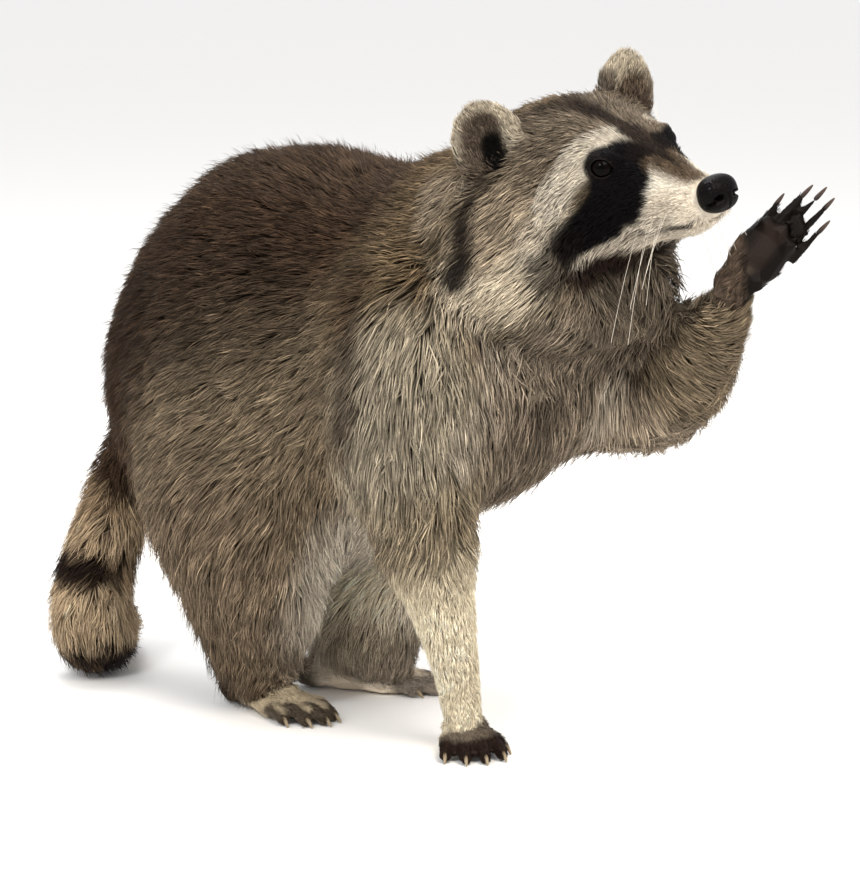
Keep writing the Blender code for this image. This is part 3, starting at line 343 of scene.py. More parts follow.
# %% The combing lines
# The lines come in sets: ruler, the nodes they comb, and the lines. Each line: mirrored or not,
# depth and length of the coat in mm at its start, the same at its end, and its points.
BODY_NODES = ("trunk", "neck", "tail_base", "hindleg", "foreleg_right_upper", "foreleg_left_upper")
COMBING = (
    ("body", BODY_NODES, (
        (1, (10, 15), (11, 17), (15, 0, 28.5), (8, 0, 28), (2, 0, 28.5), (-4, 0, 27.5), (-9, 0, 22.5),
         (-12, 0, 17), (-12.5, 0, 13)),
        (1, (10, 15), (11, 18), (13, 5, 27), (7, 5.5, 26.2), (0, 6, 25), (-6, 5.6, 21.5), (-10, 4, 16),
         (-11, 3, 12)),
        (1, (11, 17), (12, 23), (12, 7, 24.5), (8, 7.8, 22.5), (3, 8.2, 20), (-2, 8.4, 17),
         (-5.5, 7.8, 13), (-7.5, 6.2, 9), (-8, 5, 6)),
        (1, (12, 22), (12, 26), (8, 7.8, 19), (4.5, 8.2, 16.5), (1.2, 8.4, 13.5), (-0.8, 8, 10.5)),
        (1, (12, 30), (10, 28), (6.5, 6.6, 13.5), (4, 5.6, 10), (1.5, 4.5, 7.5)),
        (1, (10, 26), (10, 26), (12, 0, 13), (6, 0, 9.5), (0, 0, 7), (-4, 0, 7)),
        (1, (13, 32), (12, 34), (17, 0, 24), (17, 0, 20), (15.8, 0, 16), (13.8, 0, 13)),
        (1, (13, 34), (11, 32), (15.2, 4, 23), (14.8, 4.5, 18.5), (13, 3.5, 14)),
        (1, (13, 30), (10, 28), (12.5, 6.8, 25), (11.8, 8, 21.5), (11.8, 8, 17.5), (11.4, 7.2, 13)),
        (1, (12, 30), (9, 24), (-1, 8.6, 12), (-1.4, 8, 8.5), (-1.2, 6.6, 5), (-1.4, 5.6, 3)),
        (1, (12, 30), (9, 24), (-6.5, 7.4, 12), (-6.5, 6.6, 8), (-5.4, 5.4, 5), (-4.6, 4.6, 2)),
        (1, (9, 24), (6, 18), (1.5, 1.8, 7.5), (1.4, 1.6, 5), (0.6, 1.8, 3)),
    )),
    ("body", ("foreleg_right_lower",), (
        (0, (10, 26), (4.5, 13), (13, -5.8, 13), (12.8, -5.4, 10), (12.6, -4.6, 7)),
        (0, (10, 26), (4, 12), (9, -5.8, 13), (9.4, -5, 10), (10.2, -4.2, 7)),
        (0, (4, 12), (1.6, 6), (11.5, -3.9, 6.5), (11.7, -3.4, 4), (11.9, -3.3, 1)),
    )),
    ("body", ("hindleg_right_shank",), (
        (0, (10, 26), (5, 18), (-1, -6.8, 6), (-1.4, -5.6, 3.6), (-2, -4.8, 1.2)),
    )),
    ("body", ("hindleg_left_shank",), (
        (0, (10, 26), (5, 18), (-1, 6.8, 6), (-1, 5.6, 3.6), (-1.4, 4.8, 1.2)),
        (0, (9, 24), (3, 8), (1.4, 1.6, 6), (1.2, 1.2, 3.6), (1.2, 1.2, 1.4)),
    )),
    ("body", ("foreleg_left",), (
        (0, (12, 32), (10, 30), (12, 8, 21.5), (13.2, 8.4, 18), (13.6, 7.4, 14.6)),
        (0, (10, 28), (10, 30), (14.8, 1.5, 20), (14.4, 1.2, 17), (14, 1.4, 14)),
        (0, (10, 26), (10, 30), (16.8, 2.2, 19.6), (17.2, 2.4, 17), (17.2, 3.4, 14.6)),
        (0, (8, 22), (9, 28), (18.4, 2.4, 19.4), (19.8, 3, 17.8), (20.6, 4.4, 16.2)),
        (0, (7, 18), (8, 24), (20, 2.6, 20.6), (21.4, 3.2, 19.4), (22.2, 4.4, 18.2)),
        (0, (6, 18), (2, 7), (18, 3.4, 20.8), (20, 3.2, 21), (21.6, 2.8, 22), (22.8, 2.6, 23)),
        (0, (10, 28), (10, 28), (13.4, 4, 21.5), (15.6, 3.8, 20.8), (18, 3.4, 20.8)),
        (0, (5, 14), (1.6, 6), (21.6, 4.4, 20.2), (22.6, 4, 21.4), (23.2, 3.6, 22.4)),
        (0, (10, 28), (9, 28), (15.6, 8, 18.6), (16.8, 7.8, 16.6), (17.6, 6.6, 14.8)),
        (0, (8, 24), (8, 24), (18.4, 7.2, 19), (20, 6.8, 17.8), (20.8, 5.6, 16.4)),
    )),
    ("body", ("tail",), (
        (0, (11, 28), (9, 24), (-8.5, -0.2, 13.5), (-11.2, -0.5, 12.2), (-12.7, -1.1, 9.8),
         (-12.9, -2.2, 7.2), (-13, -3.4, 4.6)),
        (0, (9, 22), (6, 16), (-13, -3.4, 4.2), (-12, -4.6, 2.2), (-13, -2.8, 1.9), (-14.3, -1, 1.8),
         (-15.9, 0.9, 1.6), (-17.2, 2.6, 1.2)),
    )),
    ("head", ("head",), (
        (1, (1, 2.5), (1.8, 5), (4.4, 0, -1.1), (2.5, 0, -0.4), (0.9, 0, 0.9)),
        (1, (1.8, 5), (7, 16), (0.9, 0, 0.9), (-1.5, 0, 2), (-4.2, 0, 2.9), (-6.5, 0, 2.6)),
        (1, (1.2, 3), (1.8, 5), (4.1, 0.9, -1.3), (2.6, 1.2, -1), (1.4, 1.4, -0.2)),
        (1, (1.3, 4), (8, 20), (0.9, 1.2, 0.9), (-0.4, 2, 1.3), (-1.2, 3, 0.6), (-2.2, 4.4, -0.6),
         (-3.2, 6, -1.8), (-4.6, 7.4, -3)),
        (1, (1.5, 4), (8, 20), (1.8, 1.6, -0.9), (0.8, 2.3, -1.3), (-0.6, 3, -2), (-2, 4.6, -2.8),
         (-3.4, 6.4, -3.6), (-4.8, 7.6, -4.6)),
        (1, (1.2, 3), (9, 24), (4.2, 1.1, -2.2), (2.5, 1.6, -2.5), (0.9, 2.1, -2.9), (-0.8, 3, -3.6),
         (-2, 4.4, -4.8), (-3, 5.6, -6)),
        (1, (1.2, 3), (10, 26), (4.3, 0.3, -3.1), (2.4, 0.4, -4), (0.4, 0.6, -4.5), (-2, 1, -6)),
        (1, (2.5, 7), (11, 24), (-1.6, 1.2, 2), (-2.6, 3.2, 1.4), (-3.2, 5, 0.3), (-4.4, 6.6, -1),
         (-5.8, 7.6, -2.6)),
        (1, (3, 8), (10, 24), (-2, 1.4, 2.2), (-4, 2.4, 2.7), (-5.6, 3.4, 2.4), (-7, 4.4, 1)),
    )),
    ("head", ("ear",), (
        (1, (1.6, 8), (1, 5), (-4.8, 4, -0.4), (-4.6, 4.5, 1.9), (-4.4, 5.3, 4.2)),
        (1, (1.6, 8), (1, 5), (-4.8, 5.2, -0.4), (-5, 5.9, 1.4), (-5.2, 6.8, 3)),
    )),
    ("body", ("forepaw_right",), (
        (0, (1.2, 5), (0.3, 2.2), (10.5, -1.8, 1.4), (11.8, -3.2, 1.2), (13.2, -4.6, 0.6)),
    )),
    ("body", ("hindpaw_right",), (
        (0, (1.6, 7), (0.3, 2.2), (-4, -2.8, 1.8), (-1, -3.4, 1.8), (2.6, -3.9, 0.6)),
    )),
    ("body", ("hindpaw_left",), (
        (0, (1.6, 7), (0.3, 2.2), (-3, 1.4, 1.8), (0, 3, 1.8), (3, 4.6, 0.6)),
    )),
    ("body", ("forepaw_left",), (
        (0, (1.6, 10), (0.6, 7), (22, 2.6, 21.4), (23, 3.4, 22.8)),
        (0, (0.3, 4), (0.1, 2.5), (23.3, 4, 24), (24, 5.2, 25.6), (24.8, 6.4, 27.2)),
    )),
)

COMB_STEP = 1.2  # how far apart the places taken from a line are, in units


def comb_places():
    """Places along the combing lines: where, which way, depth, length and the nodes they comb."""
    where, lie, coat, combed = [], [], [], []
    rows = [(ruler, nodes, *line, side) for ruler, nodes, lines in COMBING for line in lines
            for side in both_sides(line[0])]
    for ruler, nodes, _, start, end, *points, side in rows:
        line = line_points(ruler, points, side)
        runs = lengths(np.diff(line, axis=0))
        total, gone = runs.sum(), 0.0
        for a, b, run in zip(line[:-1], line[1:], runs):
            many = max(1, round(run / UNIT / COMB_STEP))
            for k in range(many):
                share = (k + 0.5) / many
                t = (gone + share * run) / total
                where.append(a + (b - a) * share)
                lie.append((b - a) / run)
                coat.append([s + (e - s) * t for s, e in zip(start, end)])
                combed.append(nodes)
            gone += run
    return np.array(where), np.array(lie), np.array(coat) * MM, combed


COMB_AT, COMB_LIE, COMB_COAT, COMB_NODES = comb_places()
COMB_UNITS = (COMB_AT / UNIT).astype(np.float32)
COMB_FOR = np.array([[owner.startswith(nodes) for nodes in COMB_NODES]
                     for owner in OWNER_NAMES]).astype(np.float32)
CHUNK = 20000  # points combed at once, to spare memory
NEAREST = 0.3  # added to the squared distances, in units, so that no single place rules


def combed(points, owners):
    """The lie, depth and length of the coat at each point, from the combing lines near it."""
    lie, coat = np.zeros((len(points), 3)), np.zeros((len(points), 2))
    for start in range(0, len(points), CHUNK):
        some = slice(start, start + CHUNK)
        these = (points[some] / UNIT).astype(np.float32)
        away = (these ** 2).sum(1)[:, None] + (COMB_UNITS ** 2).sum(1) - 2 * these @ COMB_UNITS.T
        weight = COMB_FOR[owners[some]] / (np.maximum(away, 0) + NEAREST) ** 2
        weight /= weight.sum(1, keepdims=True)
        lie[some], coat[some] = weight @ COMB_LIE, weight @ COMB_COAT
    return lie, coat


print(len(COMB_AT), "places on", sum(len(lines) for _, _, lines in COMBING), "combing lines")

# %% [markdown]
# The skin starts from the solids themselves. Copies of them are joined and remeshed: a voxel
# remesh turns solids that only touch into one closed surface. The body takes a coarse grain,
# because the coat hides it; the head takes a finer one and the paws the finest. Then each part
# is sunk by the coat's depth, a little at a time with a light smoothing in between, so a thin tail
# doesn't turn inside out, and the parts are made one by boolean unions that lie under the fur.

# %% Finding the nearest solid
def search_tree(names):
    """A tree for finding the nearest of these solids, and each face's owner in OWNER_NAMES."""
    verts, faces, owner = [], [], []
    for name in names:
        mesh = NODES[name].data
        base = len(verts)
        verts += [v.co for v in mesh.vertices]
        faces += [[base + i for i in p.vertices] for p in mesh.polygons]
        owner += [OWNER_NAMES.index(name)] * len(mesh.polygons)
    return BVHTree.FromPolygons(verts, faces), np.array(owner)


OUTLINE, OUTLINE_OWNER = search_tree(OWNER_NAMES)


def owners_of(points):
    return OUTLINE_OWNER[[OUTLINE.find_nearest(Vector(p))[2] for p in points]]


def laid_on_outline(line, steps=6):
    """A bent line laid on the solids' outline, with shorter runs."""
    runs = [a + (b - a) * k / steps for a, b in zip(line[:-1], line[1:]) for k in range(steps)]
    return np.array([OUTLINE.find_nearest(Vector(p))[0] for p in runs + [line[-1]]])


print("the outline has", len(OUTLINE_OWNER), "triangles")


# %% Helpers for meshes and things
def coordinates(mesh, kind="co"):
    values = np.zeros(len(mesh.vertices) * 3)
    mesh.vertices.foreach_get(kind, values)
    return values.reshape(-1, 3)


def set_coordinates(mesh, values):
    mesh.vertices.foreach_set("co", values.astype(np.float32).ravel())
    mesh.update()


def mesh_from(builder, name):
    """A mesh with what the builder holds, which ends the builder."""
    mesh = bpy.data.meshes.new(name)
    builder.to_mesh(mesh)
    builder.free()
    return mesh


def linked(name, mesh):
    thing = bpy.data.objects.new(name, mesh)
    bpy.context.scene.collection.objects.link(thing)
    return thing


def settled(thing):
    """The thing's mesh as its modifiers leave it, with the modifiers gone."""
    graph = bpy.context.evaluated_depsgraph_get()
    mesh = bpy.data.meshes.new_from_object(thing.evaluated_get(graph))
    thing.modifiers.clear()
    thing.data = mesh
    return thing


def modified(thing, kind, **settings):
    modifier = thing.modifiers.new(kind.lower(), kind)
    for name, value in settings.items():
        setattr(modifier, name, value)
    return settled(thing)


def neighbours_mean(mesh):
    """A function that takes each vertex's value to the mean of its neighbours'."""
    pairs = np.zeros(len(mesh.edges) * 2, int)
    mesh.edges.foreach_get("vertices", pairs)
    a, b = pairs.reshape(-1, 2).T
    count = np.maximum(np.bincount(np.concatenate((a, b)), minlength=len(mesh.vertices)), 1)

    def mean(values):
        flat = values.reshape(len(values), -1)
        total = [np.bincount(a, flat[b, k], len(flat)) + np.bincount(b, flat[a, k], len(flat))
                 for k in range(flat.shape[1])]
        return (np.array(total).T / count[:, None]).reshape(values.shape)

    return mean


def blurred(mean, values, times):
    for _ in range(times):
        values = mean(values)
    return values


# %% Copying, sinking and joining the solids
WELD = 0.01 * MM  # how close the corners of a solid's loose triangles are that become one
SINK_STEP = 1.5 * MM  # the most that the skin sinks before it is smoothed again
SHORT, LONG = 2.5 * MM, 5 * MM  # a part sinks by its own shape up to the first coat depth,
# with the body's skin from the second one, and in between by some of both


def outline_copy(name, names, grain, smoothing):
    """One closed surface round copies of these solids."""
    builder = bmesh.new()
    for node in names:
        builder.from_mesh(NODES[node].data)
    bmesh.ops.remove_doubles(builder, verts=builder.verts, dist=WELD)
    thing = linked(name, mesh_from(builder, name))
    thing = modified(thing, "REMESH", mode="VOXEL", voxel_size=grain)
    return modified(thing, "SMOOTH", factor=0.5, iterations=smoothing)


def coat_depth(mesh, places, owners):
    return blurred(neighbours_mean(mesh), combed(places, owners)[1][:, 0], 12)


def sink(mesh, depth, blurs=2):
    """Moves a surface inward by a depth at each vertex, smoothing as it goes."""
    mean = neighbours_mean(mesh)
    steps = int(np.ceil(depth.max() / SINK_STEP))
    for _ in range(steps):
        places = coordinates(mesh) - coordinates(mesh, "normal") * depth[:, None] / steps
        for _ in range(blurs):
            places += (mean(places) - places) * 0.5
        set_coordinates(mesh, places)


def under(owners, *names):
    """How much deeper some nodes' skin lies, because it runs on inside its neighbour's."""
    return np.isin(owners, [OWNER_NAMES.index(n) for n in names]) * UNDER


def united(thing, other, operation="UNION"):
    thing = modified(thing, "BOOLEAN", operation=operation, object=other, solver="MANIFOLD")
    bpy.data.objects.remove(other)
    return thing


print("the skin sinks in steps of up to", SINK_STEP / MM, "mm")

# %% The body's skin
EYES = ("eye_left", "eye_right")
HEAD_PARTS = ("head", "ear_left", "ear_right", *EYES, "nose", "neck")
PAWS = ("forepaw_left", "forepaw_right", "hindpaw_left", "hindpaw_right")
LEG_OVER = {"forepaw_left": "foreleg_left_lower", "forepaw_right": "foreleg_right_lower",
            "hindpaw_left": "hindleg_left_shank", "hindpaw_right": "hindleg_right_shank"}
UNDER = 3 * MM  # how much deeper a part lies where it runs on inside its neighbour
BODY_GRAIN, HEAD_GRAIN, PAW_GRAIN = 3.2 * MM, 1.1 * MM, 0.7 * MM

body_parts = [n for n in OWNER_NAMES if not n.startswith("ear")] + [*EYES, "nose"]
skin = outline_copy("skin", body_parts, BODY_GRAIN, 6)
outside = coordinates(skin.data)
body_owners = owners_of(outside)
sink(skin.data, coat_depth(skin.data, outside, body_owners))
SUNK_BY = coordinates(skin.data) - outside
SUNK_AT = KDTree(len(outside))
for i, where in enumerate(outside):
    SUNK_AT.insert(where, i)
SUNK_AT.balance()
sink(skin.data, blurred(neighbours_mean(skin.data), under(body_owners, "head", *PAWS), 4))
print("body skin:", len(skin.data.polygons), "faces")


# %% The head's and the paws' skin
def body_shift(places):
    """How the body's skin sank near each place."""
    shift = np.zeros_like(places)
    for i, where in enumerate(places):
        found = SUNK_AT.find_n(where, 5)
        weight = np.array([1 / (f[2] + MM) ** 2 for f in found])
        shift[i] = (weight @ SUNK_BY[[f[1] for f in found]]) / weight.sum()
    return shift


LIP_WIDTH, LIP_DEPTH = 2.4 * MM, 2.4 * MM
LIPS_MEET = (5, 0, -2.6)
NOSE_ROOM = 2.4 * MM  # how far the skin draws back under the nose pad
NOSE_LOW, NOSE_HIGH = (np.array(v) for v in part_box("nose"))
NOSE_MIDDLE, NOSE_WIDE = (NOSE_LOW + NOSE_HIGH) / 2, (NOSE_HIGH - NOSE_LOW).max()


def face_press(places):
    """How far the skin is pressed in under the nose pad and along the lips."""
    away = lengths(places - NOSE_MIDDLE) / (NOSE_WIDE / 2)
    press = NOSE_ROOM * (1 - smooth_step((away - 0.95) / 0.35))
    for side in (-1, 1):
        away = distance_to(places, line_points("face", (*LIPS, LIPS_MEET), side))
        press = np.maximum(press, LIP_DEPTH * (1 - smooth_step(away / LIP_WIDTH)))
    return press


def fine_part(name, names, grain, smoothing, neighbour, ratio):
    """A part with a finer grain that follows the body's skin where the coat is long."""
    thing = outline_copy(name, names, grain, smoothing)
    mesh = thing.data
    places = coordinates(mesh)
    owners = owners_of(places)
    depth = coat_depth(mesh, places, owners)
    own = np.clip((LONG - depth) / (LONG - SHORT), 0, 1)[:, None]
    normals = coordinates(mesh, "normal")
    mean = neighbours_mean(mesh)
    extra = blurred(mean, under(owners, neighbour), 20)
    if neighbour == "neck":
        extra += face_press(places - normals * depth[:, None])
    soft = unit_rows(blurred(mean, normals, 20))
    far = (own < 1)[:, 0]
    shift = -normals * depth[:, None] * own - soft * extra[:, None]
    shift[far] += body_shift(places[far]) * (1 - own[far])
    set_coordinates(mesh, places + shift)
    return modified(thing, "DECIMATE", ratio=ratio)


skin = united(skin, fine_part("head_skin", HEAD_PARTS, HEAD_GRAIN, 16, "neck", 0.5))
print("with the head:", len(skin.data.polygons), "faces")
for paw in PAWS:
    over = LEG_OVER[paw]
    skin = united(skin, fine_part(paw + "_skin", (paw, over), PAW_GRAIN, 3, over, 0.35))
print("with the paws:", len(skin.data.polygons), "faces")

# %% [markdown]
# The eyes sit behind lids: a thin shell is joined to the skin round each eyeball and an almond is
# cut out of it, with its sharper end toward the nose, so that the ball looks out from inside.

# %% The lids
EYE_RADIUS = 7.3 * MM
LID = 0.9 * MM  # the lid's thickness at its edge
EYE_SET_IN = 0.9 * MM  # how much deeper the eye lies than in the frame
EYE_AIM = Vector((0.60, 0.78, 0.12))  # which way the left eye looks, on the head's ruler
EYE_ROOM = 0.12 * MM  # between the ball and the hollow it sits in
HALF_WIDE, HALF_HIGH, CORNER = 5.1 * MM, 4.35 * MM, 1.5 * MM  # the almond, and its corner's reach


def side_of(name):
    return 1 if name.endswith("left") else -1


def eye_axes(name):
    """Columns: out along the gaze, toward the nose across the eye, and up."""
    aim = HEAD_AXES @ Vector((EYE_AIM.x, EYE_AIM.y * side_of(name), EYE_AIM.z)).normalized()
    ahead = HEAD_AXES @ Vector((1, 0, -0.18))
    ahead = (ahead - aim * ahead.dot(aim)).normalized()
    return Matrix((aim, ahead, aim.cross(ahead) * side_of(name) * -1)).transposed()


def eye_middle(name):
    return middle(name) - eye_axes(name).col[0] * EYE_SET_IN


def ball(name, radius, rings=24, sides=48):
    """A ball with its poles on the z axis. Its faces come in the same order in every run, which
    those of the ready-made sphere don't, and the locks are drawn by the order of the faces."""
    tilt, turn = np.meshgrid(np.pi * np.arange(1, rings) / rings, 2 * np.pi * np.arange(sides) / sides,
                             indexing="ij")
    places = np.stack((np.sin(tilt) * np.cos(turn), np.sin(tilt) * np.sin(turn), np.cos(tilt)), 2)
    places = np.concatenate((places.reshape(-1, 3), ((0, 0, 1), (0, 0, -1)))) * radius
    last, top, bottom = sides * (rings - 2), len(places) - 2, len(places) - 1
    faces = []
    for s in range(sides):
        t = (s + 1) % sides
        faces += [(top, s, t), (bottom, last + t, last + s)]
        faces += [(r + s, r + sides + s, r + sides + t, r + t) for r in range(0, last, sides)]
    mesh = bpy.data.meshes.new(name)
    mesh.from_pydata(places.tolist(), [], faces)
    return mesh


def almond(name, centre, axes, around=40):
    """A solid whose cut through the lid leaves the opening of the eye."""
    builder = bmesh.new()
    rings = []
    for out in (3 * MM, 12 * MM):
        ring = []
        for k in range(around):
            turn = 2 * math.pi * k / around
            across, up = math.cos(turn), math.sin(turn)
            corner = max(across, 0) ** 6 * CORNER
            high = up * HALF_HIGH * (1 - 0.12 * abs(across) ** 3) - corner * 0.45
            place = Vector((out, across * HALF_WIDE + corner, high))
            ring.append(builder.verts.new(centre + axes @ place))
        rings.append(ring)
    for k in range(around):
        j = (k + 1) % around
        builder.faces.new((rings[0][k], rings[0][j], rings[1][j], rings[1][k]))
    builder.faces.new(rings[0][::-1])
    builder.faces.new(rings[1])
    bmesh.ops.recalc_face_normals(builder, faces=builder.faces)
    return linked(name, mesh_from(builder, name))


def ball_at(eye, *size):
    thing = linked("ball", ball("ball", *size))
    thing.data.transform(Matrix.Translation(eye_middle(eye)))
    return thing


for eye in EYES:
    skin = united(skin, ball_at(eye, EYE_RADIUS + LID))
for eye in EYES:
    skin = united(skin, almond("almond", eye_middle(eye), eye_axes(eye)), "DIFFERENCE")
    skin = united(skin, ball_at(eye, EYE_RADIUS + EYE_ROOM, 32, 64), "DIFFERENCE")
skin = modified(skin, "TRIANGULATE")
skin.name = skin.data.name = "skin"
print("skin with lids:", len(skin.data.polygons), "triangles")

# %% [markdown]
# The coat is made of solid locks. A lock is a slim spindle: a root under the skin's surface, two
# three-cornered rings and a tip, or one ring where the hair is short. It starts where a random
# draw puts it, leans the way it is combed, rises to the coat's outline and then lies along it.
# Neighbours lean together into tufts, as fur does when its natural grease holds it. Each lock is
# darker at the root, and some are dark or pale toward the tip: that is what grizzles a raccoon.
# One array operation makes all the locks of a piece, which is far quicker than a loop.

# %% Choosing where the locks grow
rng = np.random.default_rng(11)
PALM_FACES = Vector((0.60, -0.78, 0.17))  # which way the raised palm looks
WRIST_EDGE = (23.0, 3.3, 23.2)  # a place on the line where the bare palm begins
WRIST_LOOKS = (0.77, 0.64, 0.0)  # the way from there over the palm
LOCKS_PER_MM2 = 2.5  # where the hair is shortest
THINNED_BY = 7 * MM  # the length at which locks are half as close


def triangles_of(mesh):
    corners = np.zeros(len(mesh.polygons) * 3, int)
    mesh.polygons.foreach_get("vertices", corners)
    return corners.reshape(-1, 3)


SKIN_AT, SKIN_NORMAL = coordinates(skin.data), coordinates(skin.data, "normal")
SKIN_FACES = triangles_of(skin.data)
SKIN_OWNER = owners_of(SKIN_AT)
SKIN_LIE, SKIN_COAT = combed(SKIN_AT, SKIN_OWNER)
skin_mean = neighbours_mean(skin.data)
SKIN_LIE, SKIN_COAT = blurred(skin_mean, SKIN_LIE, 15), blurred(skin_mean, SKIN_COAT, 15)


def near_lid(eye, fade):
    """How near each place on the skin is to an eye's lids, from 0 to 1, fading over a width."""
    away = lengths(SKIN_AT - np.array(eye_middle(eye)))
    return (1 - smooth_step((away - EYE_RADIUS - LID) / fade))[:, None]


for eye in EYES:
    SKIN_COAT *= 1 - 0.65 * near_lid(eye, 5 * MM)
SKIN_LIE = unit_rows(SKIN_LIE - SKIN_NORMAL * (SKIN_LIE * SKIN_NORMAL).sum(1)[:, None])
SKIN_TREE = BVHTree.FromPolygons(SKIN_AT.tolist(), SKIN_FACES.tolist())


def bare(places, normals, owners):
    """Where no hair grows: nose, lid edges, palm and soles."""
    skip = lengths(places - NOSE_MIDDLE) < 0.56 * NOSE_WIDE
    for eye in EYES:
        local = (places - np.array(eye_middle(eye))) @ np.array(eye_axes(eye))
        inside = (local[:, 1] / HALF_WIDE) ** 2 + (local[:, 2] / HALF_HIGH) ** 2 < 1.5
        away = lengths(local) - EYE_RADIUS
        skip |= (away < 1.6 * LID) & (inside | (away < LID / 3))
    palm = normals @ np.array(PALM_FACES.normalized())
    beyond_wrist = (places - np.array(from_body(WRIST_EDGE))) @ np.array(WRIST_LOOKS) > 0
    skip |= owned_by(owners, "forepaw_left") & (palm > -0.35) & beyond_wrist
    skip |= owned_by(owners, "forepaw_right", "hindpaw") & (normals[:, 2] < -0.15)
    return skip


def grow():
    """Roots drawn evenly over the skin: more to the area where the hair is short."""
    a, b, c = (SKIN_AT[SKIN_FACES[:, k]] for k in range(3))
    area = lengths(np.cross(b - a, c - a)) / 2
    length = SKIN_COAT[SKIN_FACES, 1].mean(1)
    per_area = LOCKS_PER_MM2 / MM ** 2 / (1 + length / THINNED_BY)
    share = np.cumsum(area * per_area)
    count = int(share[-1])
    picks = (np.arange(count) + rng.random(count)) * share[-1] / count
    face = np.minimum(np.searchsorted(share, picks), len(SKIN_FACES) - 1)
    u, v = rng.random((2, count))
    flip = u + v > 1
    u[flip], v[flip] = 1 - u[flip], 1 - v[flip]
    corner = np.stack((1 - u - v, u, v), 1)

    def at(values):
        return (values[SKIN_FACES[face]] * corner.reshape(count, 3, *[1] * (values.ndim - 1))).sum(1)

    return dict(face=face, corner=corner, at=at(SKIN_AT), normal=unit_rows(at(SKIN_NORMAL)),
                lie=at(SKIN_LIE), coat=at(SKIN_COAT), owner=SKIN_OWNER[SKIN_FACES[face, 0]])


roots = grow()
keep = ~bare(roots["at"], roots["normal"], roots["owner"])
roots = {name: values[keep] for name, values in roots.items()}
print(len(roots["at"]), "locks")

# %% Leaning, lifting and gathering the locks
RINGS_AT = (0.30, 0.66)  # where a long lock's rings lie along it
SHORT_LOCK = 12 * MM  # locks shorter than this have one ring
PLAIN_SHARE = 0.45  # how many of the longer locks have one ring too, to fill in between the rest
LEADER_SHARE = 0.08  # how many locks lead a tuft
TUFT_STRAY, LOCK_STRAY = math.radians(7), math.radians(6)  # from the combed lie
LENGTH_SPREAD = 0.12
FLYAWAYS, LOOSE_FLYAWAYS = 0.05, 0.12  # how many locks stand off: mostly, and on the loose parts
LOOSE_PARTS = ("tail", "hindleg", "foreleg_left")
LIFT, LIFT_SPREAD, FLYAWAY_LIFT = 0.86, 0.13, 0.4  # how high the tips lie, in depths of the coat
FOLLOWS = 6 * MM  # locks longer than this follow the skin where it curves away
PULL, PULL_SPREAD, HEAD_PULL = 0.52, 0.15, 0.45  # how far a tip moves to its leader's
FLOOR_ROOM, ROOT_DEEP = 0.5 * MM, 0.6 * MM  # off the floor, and under the skin


def turned_about(vectors, axes, angles):
    """Each vector turned about its own axis, to which it is square."""
    return vectors * np.cos(angles)[:, None] + np.cross(axes, vectors) * np.sin(angles)[:, None]


def scattered(mean, spread):
    return mean + spread * rng.standard_normal(count)


def on_coat(points, heights, straight):
    """The long locks' points at their height over the skin nearest them, the others' straight."""
    placed = straight.copy()
    for i in np.nonzero(length > FOLLOWS)[0]:
        near, normal, _, _ = SKIN_TREE.find_nearest(Vector(points[i]))
        placed[i] = near + normal * heights[i]
    return placed


count = len(roots["at"])
depth, length = roots["coat"].T
leaders = np.nonzero(rng.random(count) < LEADER_SHARE)[0]
leader_tree = KDTree(len(leaders))
for k, i in enumerate(leaders):
    leader_tree.insert(roots["at"][i], k)
leader_tree.balance()
leader = leaders[[leader_tree.find(p)[1] for p in roots["at"]]]
turn = scattered(0, TUFT_STRAY)[leader] + scattered(0, LOCK_STRAY)
lie = unit_rows(turned_about(roots["lie"], roots["normal"], turn))
length = length * np.clip(scattered(1, LENGTH_SPREAD), 0.6, 1.3)
loose = owned_by(roots["owner"], *LOOSE_PARTS)
flyaway = rng.random(count) < np.where(loose, LOOSE_FLYAWAYS, FLYAWAYS)
plain = (length < SHORT_LOCK) | (rng.random(count) < PLAIN_SHARE)
lift = np.clip(scattered(LIFT, LIFT_SPREAD) + np.where(flyaway, FLYAWAY_LIFT, 0), 0.4, 1.5)
reach = np.sqrt(np.maximum(length ** 2 - (depth * lift) ** 2, (0.5 * length) ** 2)) * 0.96
stations = []
for t in (*RINGS_AT, 1.0):
    height = depth * lift * (1 - (1 - t) ** 1.8)
    flat = roots["at"] + lie * (reach * t)[:, None]
    straight = flat + roots["normal"] * height[:, None]
    stations.append(straight if t == RINGS_AT[0] else on_coat(flat, height, straight))
first, second, tip = stations
pull = np.clip(scattered(PULL, PULL_SPREAD), 0, 0.85)[leader] * np.clip(length / (20 * MM), 0.3, 1)
pull *= np.where(owned_by(roots["owner"], "head"), HEAD_PULL, 1.0)
pull = np.where(flyaway, 0, pull)[:, None]
second = second + (second[leader] - second) * pull * 0.45
tip = tip + (tip[leader] - tip) * pull
for ring in (first, second, tip):
    ring[:, 2] = np.maximum(ring[:, 2], FLOOR_ROOM)
root = roots["at"] - roots["normal"] * np.minimum(ROOT_DEEP, depth * 0.4)[:, None]
print("locks lean; the longest is", round(length.max() / MM), "mm")

# %% Their colours
LIGHT = (0.21, 0.72, 0.07)  # how much red, green and blue add to how light a colour looks
LOCK_TONE, TUFT_TONE = 0.20, 0.22  # how far the tones of locks, and of tufts, are spread
DARK_BELOW, PALE_ABOVE = 0.32, 0.72  # of a draw from 0 to 1: which locks have dark or pale tips
PALE_LOCK = 1.35  # how much lighter a lock with a pale tip is on the whole

skin_paint = markings(SKIN_AT, SKIN_OWNER)
colour = markings(roots["at"] * 0.25 + tip * 0.75, roots["owner"])
shine = colour @ np.array(LIGHT)
